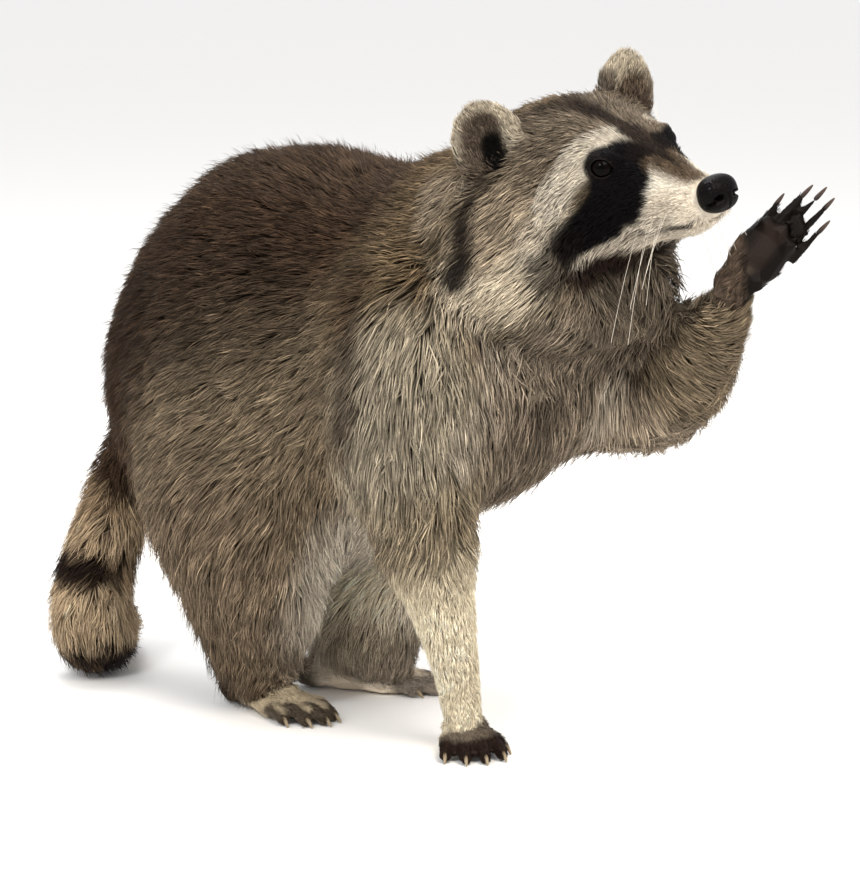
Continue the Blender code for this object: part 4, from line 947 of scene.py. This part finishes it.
# Black fur isn't grizzled, and white fur hardly.
grizzle = smooth_step((shine - 0.006) / 0.02) * (1 - 0.8 * smooth_step((shine - 0.16) / 0.3))
tone = np.exp(scattered(0, LOCK_TONE) + scattered(0, TUFT_TONE)[leader] - 0.03)
kind = rng.random(count)
dark_tip, pale_tip = kind < DARK_BELOW, kind > PALE_ABOVE
tone = 1 + (np.where(pale_tip, tone * PALE_LOCK, tone) - 1) * (0.25 + 0.75 * grizzle)
# How light a lock is at its root, at its two rings and at its tip, against the marking there.
long_coat = smooth_step((length - 4 * MM) / (12 * MM))
bands = np.stack((0.9 - 0.45 * long_coat, 0.95 - 0.25 * long_coat,
                  np.where(dark_tip, 1.35, np.where(pale_tip, 0.78, 1.03)),
                  np.where(dark_tip, 0.4, np.where(pale_tip, 1.55, 1.0))), 1)
bands = 1 + (bands - 1) * (0.35 + 0.65 * grizzle)[:, None]
paint = np.clip(colour[:, None, :] * (tone[:, None] * bands)[:, :, None], 0.001, 0.9)
print("mean coat colour", paint.mean((0, 1)).round(3))

# %% [markdown]
# Materials are built from nodes by one small function. Every colour that follows the markings
# comes from a colour attribute on the mesh, which the skin and the locks both carry, and finer
# detail comes from patterns on Object coordinates with sizes in millimetres.

# %% Node helper and the colour attribute
WHOLE = "markings"  # the name of the colour attribute


def node(tree, kind, inputs=None, **settings):
    """Adds a node, sets its settings, and fills its inputs with values or links."""
    made = tree.nodes.new(kind)
    for name, value in settings.items():
        setattr(made, name, value)
    for name, value in (inputs or {}).items():
        socket = made.inputs[name]
        if isinstance(value, bpy.types.NodeSocket):
            tree.links.new(value, socket)
        else:
            socket.default_value = value
    return made


def new_material(name):
    """A named material, and its tree with nothing in it."""
    material = bpy.data.materials.new(name)
    material.use_nodes = True
    tree = material.node_tree
    tree.nodes.clear()
    return material, tree


def rgba(hexes):
    return (*linear(hexes), 1)


def paint_points(mesh, colours):
    values = np.ones((len(mesh.vertices), 4), np.float32)
    values[:, :3] = colours
    layer = mesh.color_attributes.new(WHOLE, "FLOAT_COLOR", "POINT")
    layer.data.foreach_set("color", values.ravel())


def shade_smooth(mesh):
    mesh.polygons.foreach_set("use_smooth", np.ones(len(mesh.polygons), bool))


# Guard hair and underfur: keratin rods with a faint scaly sheen, dull when dry. The dull, slightly
# rough finish is what makes a coat look deep. The noise is one strand's width, about a millimetre.
hair, tree = new_material("dry_guard_hair_keratin")
marks = node(tree, "ShaderNodeAttribute", attribute_name=WHOLE)
spot = node(tree, "ShaderNodeTexCoord")
strand = node(tree, "ShaderNodeTexNoise", {
    "Vector": spot.outputs["Object"], "Scale": 0.9 / MM, "Detail": 2.0})
fade = node(tree, "ShaderNodeMapRange", {
    "Value": strand.outputs["Fac"], "From Min": 0.3, "From Max": 0.7, "To Min": 0.82, "To Max": 1.16})
toned = node(tree, "ShaderNodeVectorMath", {0: marks.outputs["Color"], 1: fade.outputs[0]},
             operation="MULTIPLY")
shader = node(tree, "ShaderNodeBsdfPrincipled", {
    "Base Color": toned.outputs[0], "Roughness": 0.6, "IOR": 1.55, "Specular IOR Level": 0.07})
node(tree, "ShaderNodeOutputMaterial", {"Surface": shader.outputs[0]})

# Skin under the coat: living hide, thin and matt, darkly pigmented on the bare palm, soles, lids
# and lips. The bump is the fine criss-cross of creases, about 0.9 mm apart.
hide, tree = new_material("bare_creased_skin")
marks = node(tree, "ShaderNodeAttribute", attribute_name=WHOLE)
spot = node(tree, "ShaderNodeTexCoord")
creases = node(tree, "ShaderNodeTexVoronoi", {"Vector": spot.outputs["Object"], "Scale": 1.1 / MM},
               feature="DISTANCE_TO_EDGE")
soft = node(tree, "ShaderNodeTexNoise", {
    "Vector": spot.outputs["Object"], "Scale": 0.26 / MM, "Detail": 4.0})
height = node(tree, "ShaderNodeMath", {0: creases.outputs["Distance"], 1: soft.outputs["Fac"]},
              operation="ADD")
bump = node(tree, "ShaderNodeBump", {
    "Height": height.outputs[0], "Strength": 0.5, "Distance": 0.4 * MM})
shader = node(tree, "ShaderNodeBsdfPrincipled", {
    "Base Color": marks.outputs["Color"], "Roughness": 0.45, "IOR": 1.45, "Specular IOR Level": 0.07,
    "Normal": bump.outputs[0]})
node(tree, "ShaderNodeOutputMaterial", {"Surface": shader.outputs[0]})
print("hair and skin materials")

# %% The skin's paint
UNDER_COAT = 0.5  # how much darker than the coat the skin is under long locks
bald = bare(SKIN_AT, SKIN_NORMAL, SKIN_OWNER)
skin_tone = 1 - (1 - UNDER_COAT) * smooth_step((SKIN_COAT[:, 1] - 3 * MM) / (12 * MM))
skin_tone = np.where(bald, 1.0, skin_tone)[:, None]
LID_PAINT = np.array(linear("#0d0a09"))
for eye in EYES:
    skin_paint += (LID_PAINT - skin_paint) * near_lid(eye, 1.2 * MM)
paint_points(skin.data, skin_paint * skin_tone)
shade_smooth(skin.data)
skin.data.materials.clear()
skin.data.materials.append(hide)
skin.data.polygons.foreach_set("material_index", np.zeros(len(skin.data.polygons), np.int32))
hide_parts("nose", *OWNER_NAMES)
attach(skin, "root")

# %% [markdown]
# The coat is split into pieces by part of the body, so that each stays light. For baking, each
# lock's patch of texture lies where its root lies on an unwrap of the skin under that piece: the
# skin's own faces are unwrapped into islands, and a lock's patch is set at its root's place there.

# %% A place on the texture for each lock
PATCH = 0.003  # how wide a lock's patch is on the texture
ROOTS_ON_BODY = (roots["at"] - np.array(BODY_ORIGIN)) / UNIT


def unwrapped(faces):
    """The corners of these skin faces on an unwrap of their own shape."""
    used, corner = np.unique(SKIN_FACES[faces], return_inverse=True)
    mesh = bpy.data.meshes.new("unwrap")
    mesh.from_pydata(SKIN_AT[used].tolist(), [], corner.reshape(-1, 3).tolist())
    thing = linked("unwrap", mesh)
    bpy.context.view_layer.objects.active = thing
    thing.select_set(True)
    bpy.ops.object.mode_set(mode="EDIT")
    bpy.ops.mesh.select_all(action="SELECT")
    bpy.ops.uv.smart_project(angle_limit=math.radians(66), island_margin=0.004)
    bpy.ops.object.mode_set(mode="OBJECT")
    flat = np.zeros(len(mesh.loops) * 2)
    mesh.uv_layers[0].data.foreach_get("uv", flat)
    bpy.data.objects.remove(thing)
    return flat.reshape(-1, 3, 2)


print("a patch for each of", count, "locks")

# %% Building many locks at once
ACROSS = np.array(((0.0, 1.0), (-0.87, -0.5), (0.87, -0.5)))  # a ring's corners: sideways, up
THICK = 0.45  # a lock's height over its width
WIDE, WIDER = 0.11 * MM, 0.0145  # half a lock's width, and what its length adds to it
FLYAWAY_WIDE = 0.5  # a flyaway's width over that of other locks
RING_SIZES = (1.0, 0.72)


def lock_faces(rings, corners=3):
    """One lock's triangles: the root is vertex 0, then the rings, then the tip."""
    faces, tip_at = [], 1 + rings * corners
    for k in range(corners):
        j = (k + 1) % corners
        faces.append((0, 1 + j, 1 + k))
        for r in range(rings - 1):
            a, b = 1 + r * corners, 1 + (r + 1) * corners
            faces += [(a + k, a + j, b + j), (a + k, b + j, b + k)]
        last = 1 + (rings - 1) * corners
        faces.append((last + k, last + j, tip_at))
    return np.array(faces)


def lock_arrays(which, rings):
    """Vertices, faces, colours and texture places of some locks with one or two rings."""
    n = len(which)
    stations = [first[which], second[which]] if rings == 2 else [first[which] * 0.4 + second[which] * 0.6]
    tip_at, root_at, up = tip[which], root[which], roots["normal"][which]
    wide = (WIDE + length[which] * WIDER) * np.where(flyaway[which], FLYAWAY_WIDE, 1)
    along = unit_rows(tip_at - root_at)
    side = unit_rows(np.cross(up, along))
    rise = np.cross(along, side)
    verts, shades = [root_at[:, None]], [paint[which, 0][:, None]]
    spots = [np.tile((0, -0.5), (n, 1, 1))]
    for r, station in enumerate(stations):
        size = wide * RING_SIZES[r]
        ring = (station[:, None] + side[:, None] * (size[:, None] * ACROSS[:, 0])[:, :, None]
                + rise[:, None] * (size[:, None] * THICK * ACROSS[:, 1])[:, :, None])
        verts.append(ring)
        shades.append(np.repeat(paint[which, 1 + r][:, None], 3, 1))
        level = (r + 1) / (rings + 1) - 0.5
        spots.append(np.tile(np.array([(x * 0.45, level) for x in (-1, 0, 1)]), (n, 1, 1)))
    verts.append(tip_at[:, None])
    shades.append(paint[which, 3][:, None])
    spots.append(np.tile((0, 0.5), (n, 1, 1)))
    verts, shades, spots = (np.concatenate(parts, 1) for parts in (verts, shades, spots))
    faces = lock_faces(rings)
    every_face = faces[None] + (np.arange(n) * verts.shape[1])[:, None, None]
    return (verts.reshape(-1, 3), every_face.reshape(-1, 3), shades.reshape(-1, 3),
            (spots * PATCH).reshape(-1, 2), np.repeat(which, verts.shape[1]))


print("a lock has", len(lock_faces(1)), "or", len(lock_faces(2)), "triangles")


# %% The coat's pieces
def coat_piece(name, which):
    """One coat piece from some of the locks."""
    short = plain[which]
    parts = [lock_arrays(which[~short], 2), lock_arrays(which[short], 1)]
    parts[1] = (parts[1][0], parts[1][1] + len(parts[0][0]), *parts[1][2:])
    verts, faces, shades, spots, lock = (np.concatenate([p[k] for p in parts]) for k in range(5))
    mesh = bpy.data.meshes.new(name)
    mesh.vertices.add(len(verts))
    mesh.vertices.foreach_set("co", verts.astype(np.float32).ravel())
    mesh.loops.add(len(faces) * 3)
    mesh.loops.foreach_set("vertex_index", faces.astype(np.int32).ravel())
    mesh.polygons.add(len(faces))
    mesh.polygons.foreach_set("loop_start", np.arange(0, len(faces) * 3, 3, dtype=np.int32))
    mesh.update(calc_edges=True)
    ground, at_face = np.unique(roots["face"][which], return_inverse=True)
    flat = unwrapped(ground)[at_face]
    home = np.zeros((count, 2))
    home[which] = (flat * roots["corner"][which][:, :, None]).sum(1)
    place_on_map = np.clip(home[lock], PATCH, 1 - PATCH) + spots
    layer = mesh.uv_layers.new(name="OFBake")
    layer.data.foreach_set("uv", place_on_map[faces.ravel()].astype(np.float32).ravel())
    paint_points(mesh, shades)
    shade_smooth(mesh)
    mesh.materials.append(hair)
    thing = linked(name, mesh)
    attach(thing, "root")
    print(f"{name}: {len(which)} locks, {len(faces)} triangles")
    return thing


owner = roots["owner"]
right = ROOTS_ON_BODY[:, 1] < 0
COAT_PARTS = {
    "head": owned_by(owner, "head", "ear"),
    "neck": owned_by(owner, "neck"),
    "right_side": owned_by(owner, "trunk", "hindleg_right_thigh") & right,
    "left_side": owned_by(owner, "trunk", "hindleg_left_thigh") & ~right,
    "right_foreleg": owned_by(owner, "foreleg_right"),
    "left_foreleg": owned_by(owner, "foreleg_left"),
    "hind_legs": owned_by(owner, "hindleg"),
    "tail": owned_by(owner, "tail"),
    "paws": owned_by(owner, "forepaw", "hindpaw"),
}
MOST = 178000  # triangles in a coat piece, if none of its long locks were plain
taken = np.zeros(count, bool)
coat = []
for part, chosen in COAT_PARTS.items():
    which = np.nonzero(chosen & ~taken)[0]
    taken[which] = True
    triangles = np.where(length[which] < SHORT_LOCK, 6, 12).sum()
    pieces = int(np.ceil(triangles / MOST))
    from_rear = which[np.argsort(ROOTS_ON_BODY[which, 0], kind="stable")]
    for k, share in enumerate(np.array_split(from_rear, pieces)):
        coat.append(coat_piece(f"coat_{part}" + (f"_{k + 1}" if pieces > 1 else ""), share))
print(len(coat), "coat pieces,", sum(len(c.data.polygons) for c in coat), "triangles;",
      (~taken).sum(), "locks left over")

# %% [markdown]
# Each eye is a ball with a bulge in front. Rather than a picture of an iris, the ball's own
# rings carry the colour: they run round the line of sight, so pupil, iris and the dark white of
# the eye are bands of rings. The ball's smooth, wet gloss gives the hard, small glint of a live eye.

# %% Eyes
PUPIL, IRIS = math.radians(15), math.radians(37)
BULGE, BULGE_WIDE = 0.5 * MM, math.radians(42)
eye_wet, tree = new_material("wet_dark_eye")
marks = node(tree, "ShaderNodeAttribute", attribute_name=WHOLE)
shader = node(tree, "ShaderNodeBsdfPrincipled", {
    "Base Color": marks.outputs["Color"], "Roughness": 0.06, "IOR": 1.33, "Specular IOR Level": 0.08})
node(tree, "ShaderNodeOutputMaterial", {"Surface": shader.outputs[0]})
EYE_PAINT = {name: np.array(linear(value)) for name, value in
             (("pupil", "#010101"), ("iris", "#030201"), ("streak", "#060302"), ("white", "#030202"))}
for eye in EYES:
    mesh = ball(eye.replace("eye", "eyeball"), EYE_RADIUS, 64, 96)
    places = coordinates(mesh)
    angle = np.arccos(np.clip(places[:, 2] / EYE_RADIUS, -1, 1))
    round_it = np.arctan2(places[:, 1], places[:, 0])
    bulge = 1 + BULGE / EYE_RADIUS * (1 - smooth_step(angle / BULGE_WIDE))
    out, ahead, up = np.array(eye_axes(eye)).T
    looking = places[:, 2:] * out + places[:, :1] * ahead + places[:, 1:2] * up
    set_coordinates(mesh, looking * bulge[:, None] + np.array(eye_middle(eye)))
    builder = bmesh.new()
    builder.from_mesh(mesh)
    bmesh.ops.recalc_face_normals(builder, faces=builder.faces)
    builder.to_mesh(mesh)
    builder.free()
    streaks = (0.5 + 0.5 * np.sin(round_it * 34) * np.sin(round_it * 13 + 1))[:, None]
    colours = EYE_PAINT["iris"] + (EYE_PAINT["streak"] - EYE_PAINT["iris"]) * streaks
    colours = np.where((angle < PUPIL)[:, None], EYE_PAINT["pupil"], colours)
    colours = np.where((angle > IRIS)[:, None], EYE_PAINT["white"], colours)
    paint_points(mesh, colours)
    shade_smooth(mesh)
    mesh.materials.append(eye_wet)
    thing = linked(mesh.name, mesh)
    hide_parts(eye)
    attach(thing, "root")
print("eyes: two balls", round(2 * EYE_RADIUS / MM, 1), "mm across")

# %% [markdown]
# The nose pad is bare leathery skin, swollen at the sides and split by a groove in the middle. It
# is a ball made a little square, with the comma-shaped nostrils, the groove and the wings pressed
# into it. Its surface is a mosaic of small plates about a millimetre wide, and it is kept wet.

# %% Nose pad
NOSE_SIZE = Vector((0.75, 0.98, 0.85))  # half sizes: forward, to the side and up, in units
# Each dent: whether it is on both sides, its depth and width in mm, and its line over the ball.
DENTS = (
    (1, 4.2, 2.9, (0.84, 0.42, -0.08), (0.76, 0.56, -0.12)),
    (1, 2.4, 1.7, (0.76, 0.54, -0.12), (0.60, 0.78, -0.28), (0.28, 0.92, -0.36)),
    (0, 1.0, 1.1, (0.95, 0, 0.1), (0.86, 0, -0.5), (0.55, 0, -0.85)),
)
SQUARE = 2.5  # 2 is a round ball, and more is squarer


def on_square_ball(points):
    return points / (np.abs(points) ** SQUARE).sum(1)[:, None] ** (1 / SQUARE)


mesh = ball("nose_pad", 1.0, 90, 140)
unit_ball = coordinates(mesh)
square = on_square_ball(unit_ball)
press = np.zeros(len(square))
for mirrored, deep, wide, *line in DENTS:
    for side in both_sides(mirrored):
        path = on_square_ball(np.array([(x, y * side, z) for x, y, z in line]))
        away = distance_to(square, path) * NOSE_SIZE.y * UNIT / MM
        press = np.maximum(press, deep * (1 - smooth_step(away / wide)))
local = square * np.array(NOSE_SIZE) * UNIT - unit_ball * press[:, None] * MM
set_coordinates(mesh, local @ np.array(HEAD_AXES).T + np.array(middle("nose")))
shade_smooth(mesh)
nose_skin, tree = new_material("wet_nose_leather")
spot = node(tree, "ShaderNodeTexCoord")
plates = node(tree, "ShaderNodeTexVoronoi", {
    "Vector": spot.outputs["Object"], "Scale": 1 / MM, "Randomness": 0.8}, feature="DISTANCE_TO_EDGE")
edge = node(tree, "ShaderNodeMapRange", {
    "Value": plates.outputs["Distance"], "From Min": 0.0, "From Max": 0.18})
bump = node(tree, "ShaderNodeBump", {
    "Height": edge.outputs[0], "Strength": 0.35, "Distance": 0.25 * MM})
cloud = node(tree, "ShaderNodeTexNoise", {
    "Vector": spot.outputs["Object"], "Scale": 0.24 / MM, "Detail": 3.0})
shade = node(tree, "ShaderNodeMix", {
    "Factor": cloud.outputs["Fac"], 6: rgba("#030202"), 7: rgba("#0b0808")}, data_type="RGBA")
shader = node(tree, "ShaderNodeBsdfPrincipled", {
    "Base Color": shade.outputs[2], "Roughness": 0.18, "IOR": 1.38, "Specular IOR Level": 0.07,
    "Normal": bump.outputs[0]})
node(tree, "ShaderNodeOutputMaterial", {"Surface": shader.outputs[0]})
mesh.materials.append(nose_skin)
nose_pad = linked("nose_pad", mesh)
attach(nose_pad, "root")
print("nose pad:", len(mesh.polygons), "faces")

# %% [markdown]
# The claws are long, curved and laid down in thin sheets of horn, clear toward the tip. The frame
# holds each as a few flat faces, so a copy is swollen slightly and subdivided: the subdivision
# pulls the surface in by about as much. The five of a paw make one piece.

# %% Claws
horn, tree = new_material("layered_claw_horn")
marks = node(tree, "ShaderNodeAttribute", attribute_name=WHOLE)
spot = node(tree, "ShaderNodeTexCoord")
layers = node(tree, "ShaderNodeTexNoise", {
    "Vector": spot.outputs["Object"], "Scale": 0.7 / MM, "Detail": 3.0})
bump = node(tree, "ShaderNodeBump", {
    "Height": layers.outputs["Fac"], "Strength": 0.25, "Distance": 0.2 * MM})
shader = node(tree, "ShaderNodeBsdfPrincipled", {
    "Base Color": marks.outputs["Color"], "Roughness": 0.32, "IOR": 1.54, "Specular IOR Level": 0.2,
    "Normal": bump.outputs[0]})
node(tree, "ShaderNodeOutputMaterial", {"Surface": shader.outputs[0]})
SWELL = 0.28 * MM
CLAW_PAINT, RAISED_CLAW_PAINT = ("#2c231c", "#85765f"), ("#1d1511", "#3d3028")  # root and tip
for paw in PAWS:
    whole = bmesh.new()
    shades = []
    hexes = RAISED_CLAW_PAINT if paw == "forepaw_left" else CLAW_PAINT
    dark, pale = (np.array(linear(h)) for h in hexes)
    digits = sorted(n for n in NODES if n.startswith("claw_" + paw))
    for digit in digits:
        one = bmesh.new()
        one.from_mesh(NODES[digit].data)
        bmesh.ops.remove_doubles(one, verts=one.verts, dist=WELD)
        one.normal_update()
        for v in one.verts:
            v.co += v.normal * SWELL
        smooth = linked(digit + "_smooth", mesh_from(one, digit))
        smooth = modified(smooth, "SUBSURF", levels=2, render_levels=2)
        from_paw = lengths(coordinates(smooth.data) - np.array(middle(paw)))
        along = (from_paw - from_paw.min()) / (from_paw.max() - from_paw.min())
        shades.append(dark + (pale - dark) * smooth_step(along * 1.15)[:, None])
        whole.from_mesh(smooth.data)
        bpy.data.objects.remove(smooth)
    mesh = mesh_from(whole, "claws_" + paw)
    paint_points(mesh, np.concatenate(shades))
    shade_smooth(mesh)
    mesh.materials.append(horn)
    claws = linked(mesh.name, mesh)
    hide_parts(*digits)
    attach(claws, "root")
print("claws: four paws of", len(digits))

# %% [markdown]
# The whiskers follow a rule, so Geometry Nodes make them: each root point says which way its
# whisker sets out and how long it is, one straight line is put on each point, the lines are made
# real, bent down by their own weight, thinned toward the tip and given a round section. The tree
# has named inputs for the thickness and the droop, and its result is turned into a plain mesh.

# %% Where the whiskers grow
# Each row of roots: its first place, how many it has, and the length in mm of its first whisker.
WHISKER_ROWS = (((3.1, 1.35, -1.9), 1, 22), ((2.6, 1.5, -2.3), 2, 26), ((2.1, 1.62, -2.75), 3, 30))
BROW_WHISKERS = ((0.1, 1.9, 1.55), (0.4, 1.7, 1.4))
THICKNESS, DROOP = 0.08 * MM, 0.35  # half a whisker's thickness at its root, and how far it bends
roots_at, aims, longs = [], [], []
whisker_rng = np.random.default_rng(5)
for side in (-1, 1):
    for row, ((x, y, z), many, first_length) in enumerate(WHISKER_ROWS):
        for k in range(many):
            at = from_head((x - 0.5 * k, (y + 0.06 * k) * side, z - 0.05 * k))
            near, normal, _, _ = SKIN_TREE.find_nearest(at)
            roots_at.append(near - normal * 0.5 * MM)
            back = 0.10 + 0.20 * k + 0.12 * whisker_rng.random()
            out = HEAD_AXES @ Vector((-back, 0.30 * side, -0.85 - 0.15 * row))
            aims.append((normal * 0.5 + out.normalized()).normalized())
            longs.append((first_length + 6 * k + 8 * whisker_rng.random()) * MM)
for side in (-1, 1):
    for k, (x, y, z) in enumerate(BROW_WHISKERS):
        near, normal, _, _ = SKIN_TREE.find_nearest(from_head((x, y * side, z)))
        roots_at.append(near - normal * 0.5 * MM)
        aims.append((normal + HEAD_AXES @ Vector((-0.5, 0.2 * side, 0.3))).normalized())
        longs.append((14 + 4 * k) * MM)
mesh = bpy.data.meshes.new("whisker_roots")
mesh.from_pydata(roots_at, [], [])
for label, kind, field, values in (("aim", "FLOAT_VECTOR", "vector", np.array(aims).ravel()),
                                   ("long", "FLOAT", "value", np.array(longs))):
    mesh.attributes.new(label, kind, "POINT").data.foreach_set(field, values)
whiskers = linked("whiskers", mesh)
print(len(roots_at), "whiskers of up to", round(max(longs) / MM), "mm")

# %% The whiskers' material
# Whisker: a stiff, smooth, tapering bristle of keratin, almost white, with a soft gloss.
bristle, tree = new_material("white_whisker_keratin")
spot = node(tree, "ShaderNodeTexCoord")
cloud = node(tree, "ShaderNodeTexNoise", {
    "Vector": spot.outputs["Object"], "Scale": 0.18 / MM, "Detail": 2.0})
shade = node(tree, "ShaderNodeMix", {
    "Factor": cloud.outputs["Fac"], 6: rgba("#b9ae9d"), 7: rgba("#e6dfd2")}, data_type="RGBA")
shader = node(tree, "ShaderNodeBsdfPrincipled", {
    "Base Color": shade.outputs[2], "Roughness": 0.35, "IOR": 1.55, "Specular IOR Level": 0.2})
node(tree, "ShaderNodeOutputMaterial", {"Surface": shader.outputs[0]})

print("material:", bristle.name)

# %% The whiskers' node tree
tree = bpy.data.node_groups.new("whiskers", "GeometryNodeTree")
tree.interface.new_socket("Geometry", in_out="INPUT", socket_type="NodeSocketGeometry")
tree.interface.new_socket("Geometry", in_out="OUTPUT", socket_type="NodeSocketGeometry")
sizes = {}
for label, value in (("Thickness", THICKNESS), ("Droop", DROOP)):
    socket = tree.interface.new_socket(label, in_out="INPUT", socket_type="NodeSocketFloat")
    socket.default_value = value
    sizes[label] = (socket.identifier, value)
entry = node(tree, "NodeGroupInput")
aim = node(tree, "GeometryNodeInputNamedAttribute", {"Name": "aim"}, data_type="FLOAT_VECTOR")
long = node(tree, "GeometryNodeInputNamedAttribute", {"Name": "long"}, data_type="FLOAT")
straight = node(tree, "GeometryNodeCurvePrimitiveLine", {"End": (0, 0, 1)})
stepped = node(tree, "GeometryNodeResampleCurve", {"Curve": straight.outputs[0], "Count": 16})
turned = node(tree, "FunctionNodeAlignEulerToVector", {"Vector": aim.outputs[0]}, axis="Z")
points = node(tree, "GeometryNodeMeshToPoints", {"Mesh": entry.outputs[0]})
placed = node(tree, "GeometryNodeInstanceOnPoints", {
    "Points": points.outputs[0], "Instance": stepped.outputs[0], "Rotation": turned.outputs[0],
    "Scale": long.outputs[0]})
real = node(tree, "GeometryNodeRealizeInstances", {"Geometry": placed.outputs[0]})
along = node(tree, "GeometryNodeSplineParameter")
squared = node(tree, "ShaderNodeMath", {0: along.outputs["Factor"], 1: 2.0}, operation="POWER")
weight = node(tree, "ShaderNodeMath", {0: squared.outputs[0], 1: long.outputs[0]}, operation="MULTIPLY")
sag = node(tree, "ShaderNodeMath", {0: weight.outputs[0], 1: entry.outputs["Droop"]}, operation="MULTIPLY")
down = node(tree, "ShaderNodeMath", {0: sag.outputs[0], 1: -1.0}, operation="MULTIPLY")
offset = node(tree, "ShaderNodeCombineXYZ", {"Z": down.outputs[0]})
bent = node(tree, "GeometryNodeSetPosition", {"Geometry": real.outputs[0], "Offset": offset.outputs[0]})
thin = node(tree, "ShaderNodeMapRange", {"Value": along.outputs["Factor"], "To Min": 1.0, "To Max": 0.18})
tapered = node(tree, "GeometryNodeSetCurveRadius", {"Curve": bent.outputs[0], "Radius": thin.outputs[0]})
section = node(tree, "GeometryNodeCurvePrimitiveCircle", {
    "Resolution": 6, "Radius": entry.outputs["Thickness"]})
solid = node(tree, "GeometryNodeCurveToMesh", {
    "Curve": tapered.outputs[0], "Profile Curve": section.outputs[0], "Fill Caps": True})
ended = node(tree, "GeometryNodeRealizeInstances", {"Geometry": solid.outputs[0]})
painted = node(tree, "GeometryNodeSetMaterial", {"Geometry": ended.outputs[0], "Material": bristle})
node(tree, "NodeGroupOutput", {"Geometry": painted.outputs[0]})
maker = whiskers.modifiers.new("whiskers", "NODES")
maker.node_group = tree
for identifier, value in sizes.values():
    maker[identifier] = value
settled(whiskers)
shade_smooth(whiskers.data)
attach(whiskers, "root")
print("whiskers:", len(whiskers.data.polygons), "faces")

# %% [markdown]
# The studio is plain: a wide pale floor, a pale world that fills the shadows, and soft lamps. The
# key stands high at the camera's right and a weaker one fills from its left. A third, behind the
# animal, lights the tips of its coat, and a small one puts the glint in the eye.

# %% Floor and world
FAR = 12.0  # from the middle to each side of the floor
floor_mesh = bpy.data.meshes.new("floor")
floor_mesh.from_pydata([(-FAR, -FAR, 0), (FAR, -FAR, 0), (FAR, FAR, 0), (-FAR, FAR, 0)], [], [(0, 1, 2, 3)])
floor = linked("floor", floor_mesh)
# Backdrop paper: uncoated and matt, so it shows soft shadows and no reflection.
paper, tree = new_material("matt_white_paper")
shader = node(tree, "ShaderNodeBsdfPrincipled", {
    "Base Color": rgba("#f4f3f1"), "Roughness": 0.6, "Specular IOR Level": 0.2})
node(tree, "ShaderNodeOutputMaterial", {"Surface": shader.outputs[0]})
floor_mesh.materials.append(paper)

world = bpy.data.worlds.new("studio")
world.use_nodes = True
sky = world.node_tree.nodes["Background"].inputs
sky["Color"].default_value, sky["Strength"].default_value = rgba("#fbfbfc"), 1.0
bpy.context.scene.world = world
print("floor", 2 * FAR, "m wide")

# %% Camera
CAMERA_TURN, CAMERA_RISE = math.radians(40), math.radians(10)
CAMERA_AIM, CAMERA_AWAY, FRAME_WIDE = (4.2, 3.5, 13.3), 180, 44  # on the body's ruler
SENSOR, LEVEL = 36, math.cos(CAMERA_RISE)
UP = Vector((0, 0, 1))
RIGHT = Vector((math.cos(CAMERA_TURN), math.sin(CAMERA_TURN), 0))
BACK = Vector((math.sin(CAMERA_TURN) * LEVEL, -math.cos(CAMERA_TURN) * LEVEL, math.sin(CAMERA_RISE)))
lens = bpy.data.cameras.new("camera")
lens.sensor_width = SENSOR
lens.lens = SENSOR * CAMERA_AWAY / FRAME_WIDE
camera = linked("camera", lens)
camera.location = from_body(CAMERA_AIM) + BACK * CAMERA_AWAY * UNIT
camera.rotation_mode = "QUATERNION"
camera.rotation_quaternion = (-BACK).to_track_quat("-Z", "Y")
lens.clip_start, lens.clip_end = 0.05, 60
bpy.context.scene.camera = camera
bpy.context.scene.view_settings.view_transform = "Standard"
print("camera", round(CAMERA_AWAY * UNIT, 2), "m away")

# %% Lamps
LAMPS_AIM = (4, 0, 18)


def soft_lamp(name, toward, away, size, power, hexes="#ffffff"):
    """A square lamp that looks at the middle of the body from a direction."""
    data = bpy.data.lights.new(name, "AREA")
    data.size, data.energy, data.color = size, power, linear(hexes)
    lamp = linked(name, data)
    lamp.location = from_body(LAMPS_AIM) + toward.normalized() * away
    lamp.rotation_mode = "QUATERNION"
    lamp.rotation_quaternion = toward.to_track_quat("Z", "Y")


# Each lamp: where it stands from the middle of the body, how far off, its size in m and its watts.
soft_lamp("key", BACK * 0.8 + RIGHT * 0.5 + UP * 0.9, 1.6, 1.0, 29, "#fff6ea")
soft_lamp("fill", BACK * 0.8 - RIGHT * 0.8 + UP * 0.5, 1.8, 1.2, 5)
soft_lamp("rim", -BACK * 0.6 - RIGHT * 0.3 + UP * 1.4, 1.7, 0.8, 16)
soft_lamp("glint", BACK - RIGHT * 0.45 + UP * 0.55, 1.5, 0.22, 8)
print("four lamps")
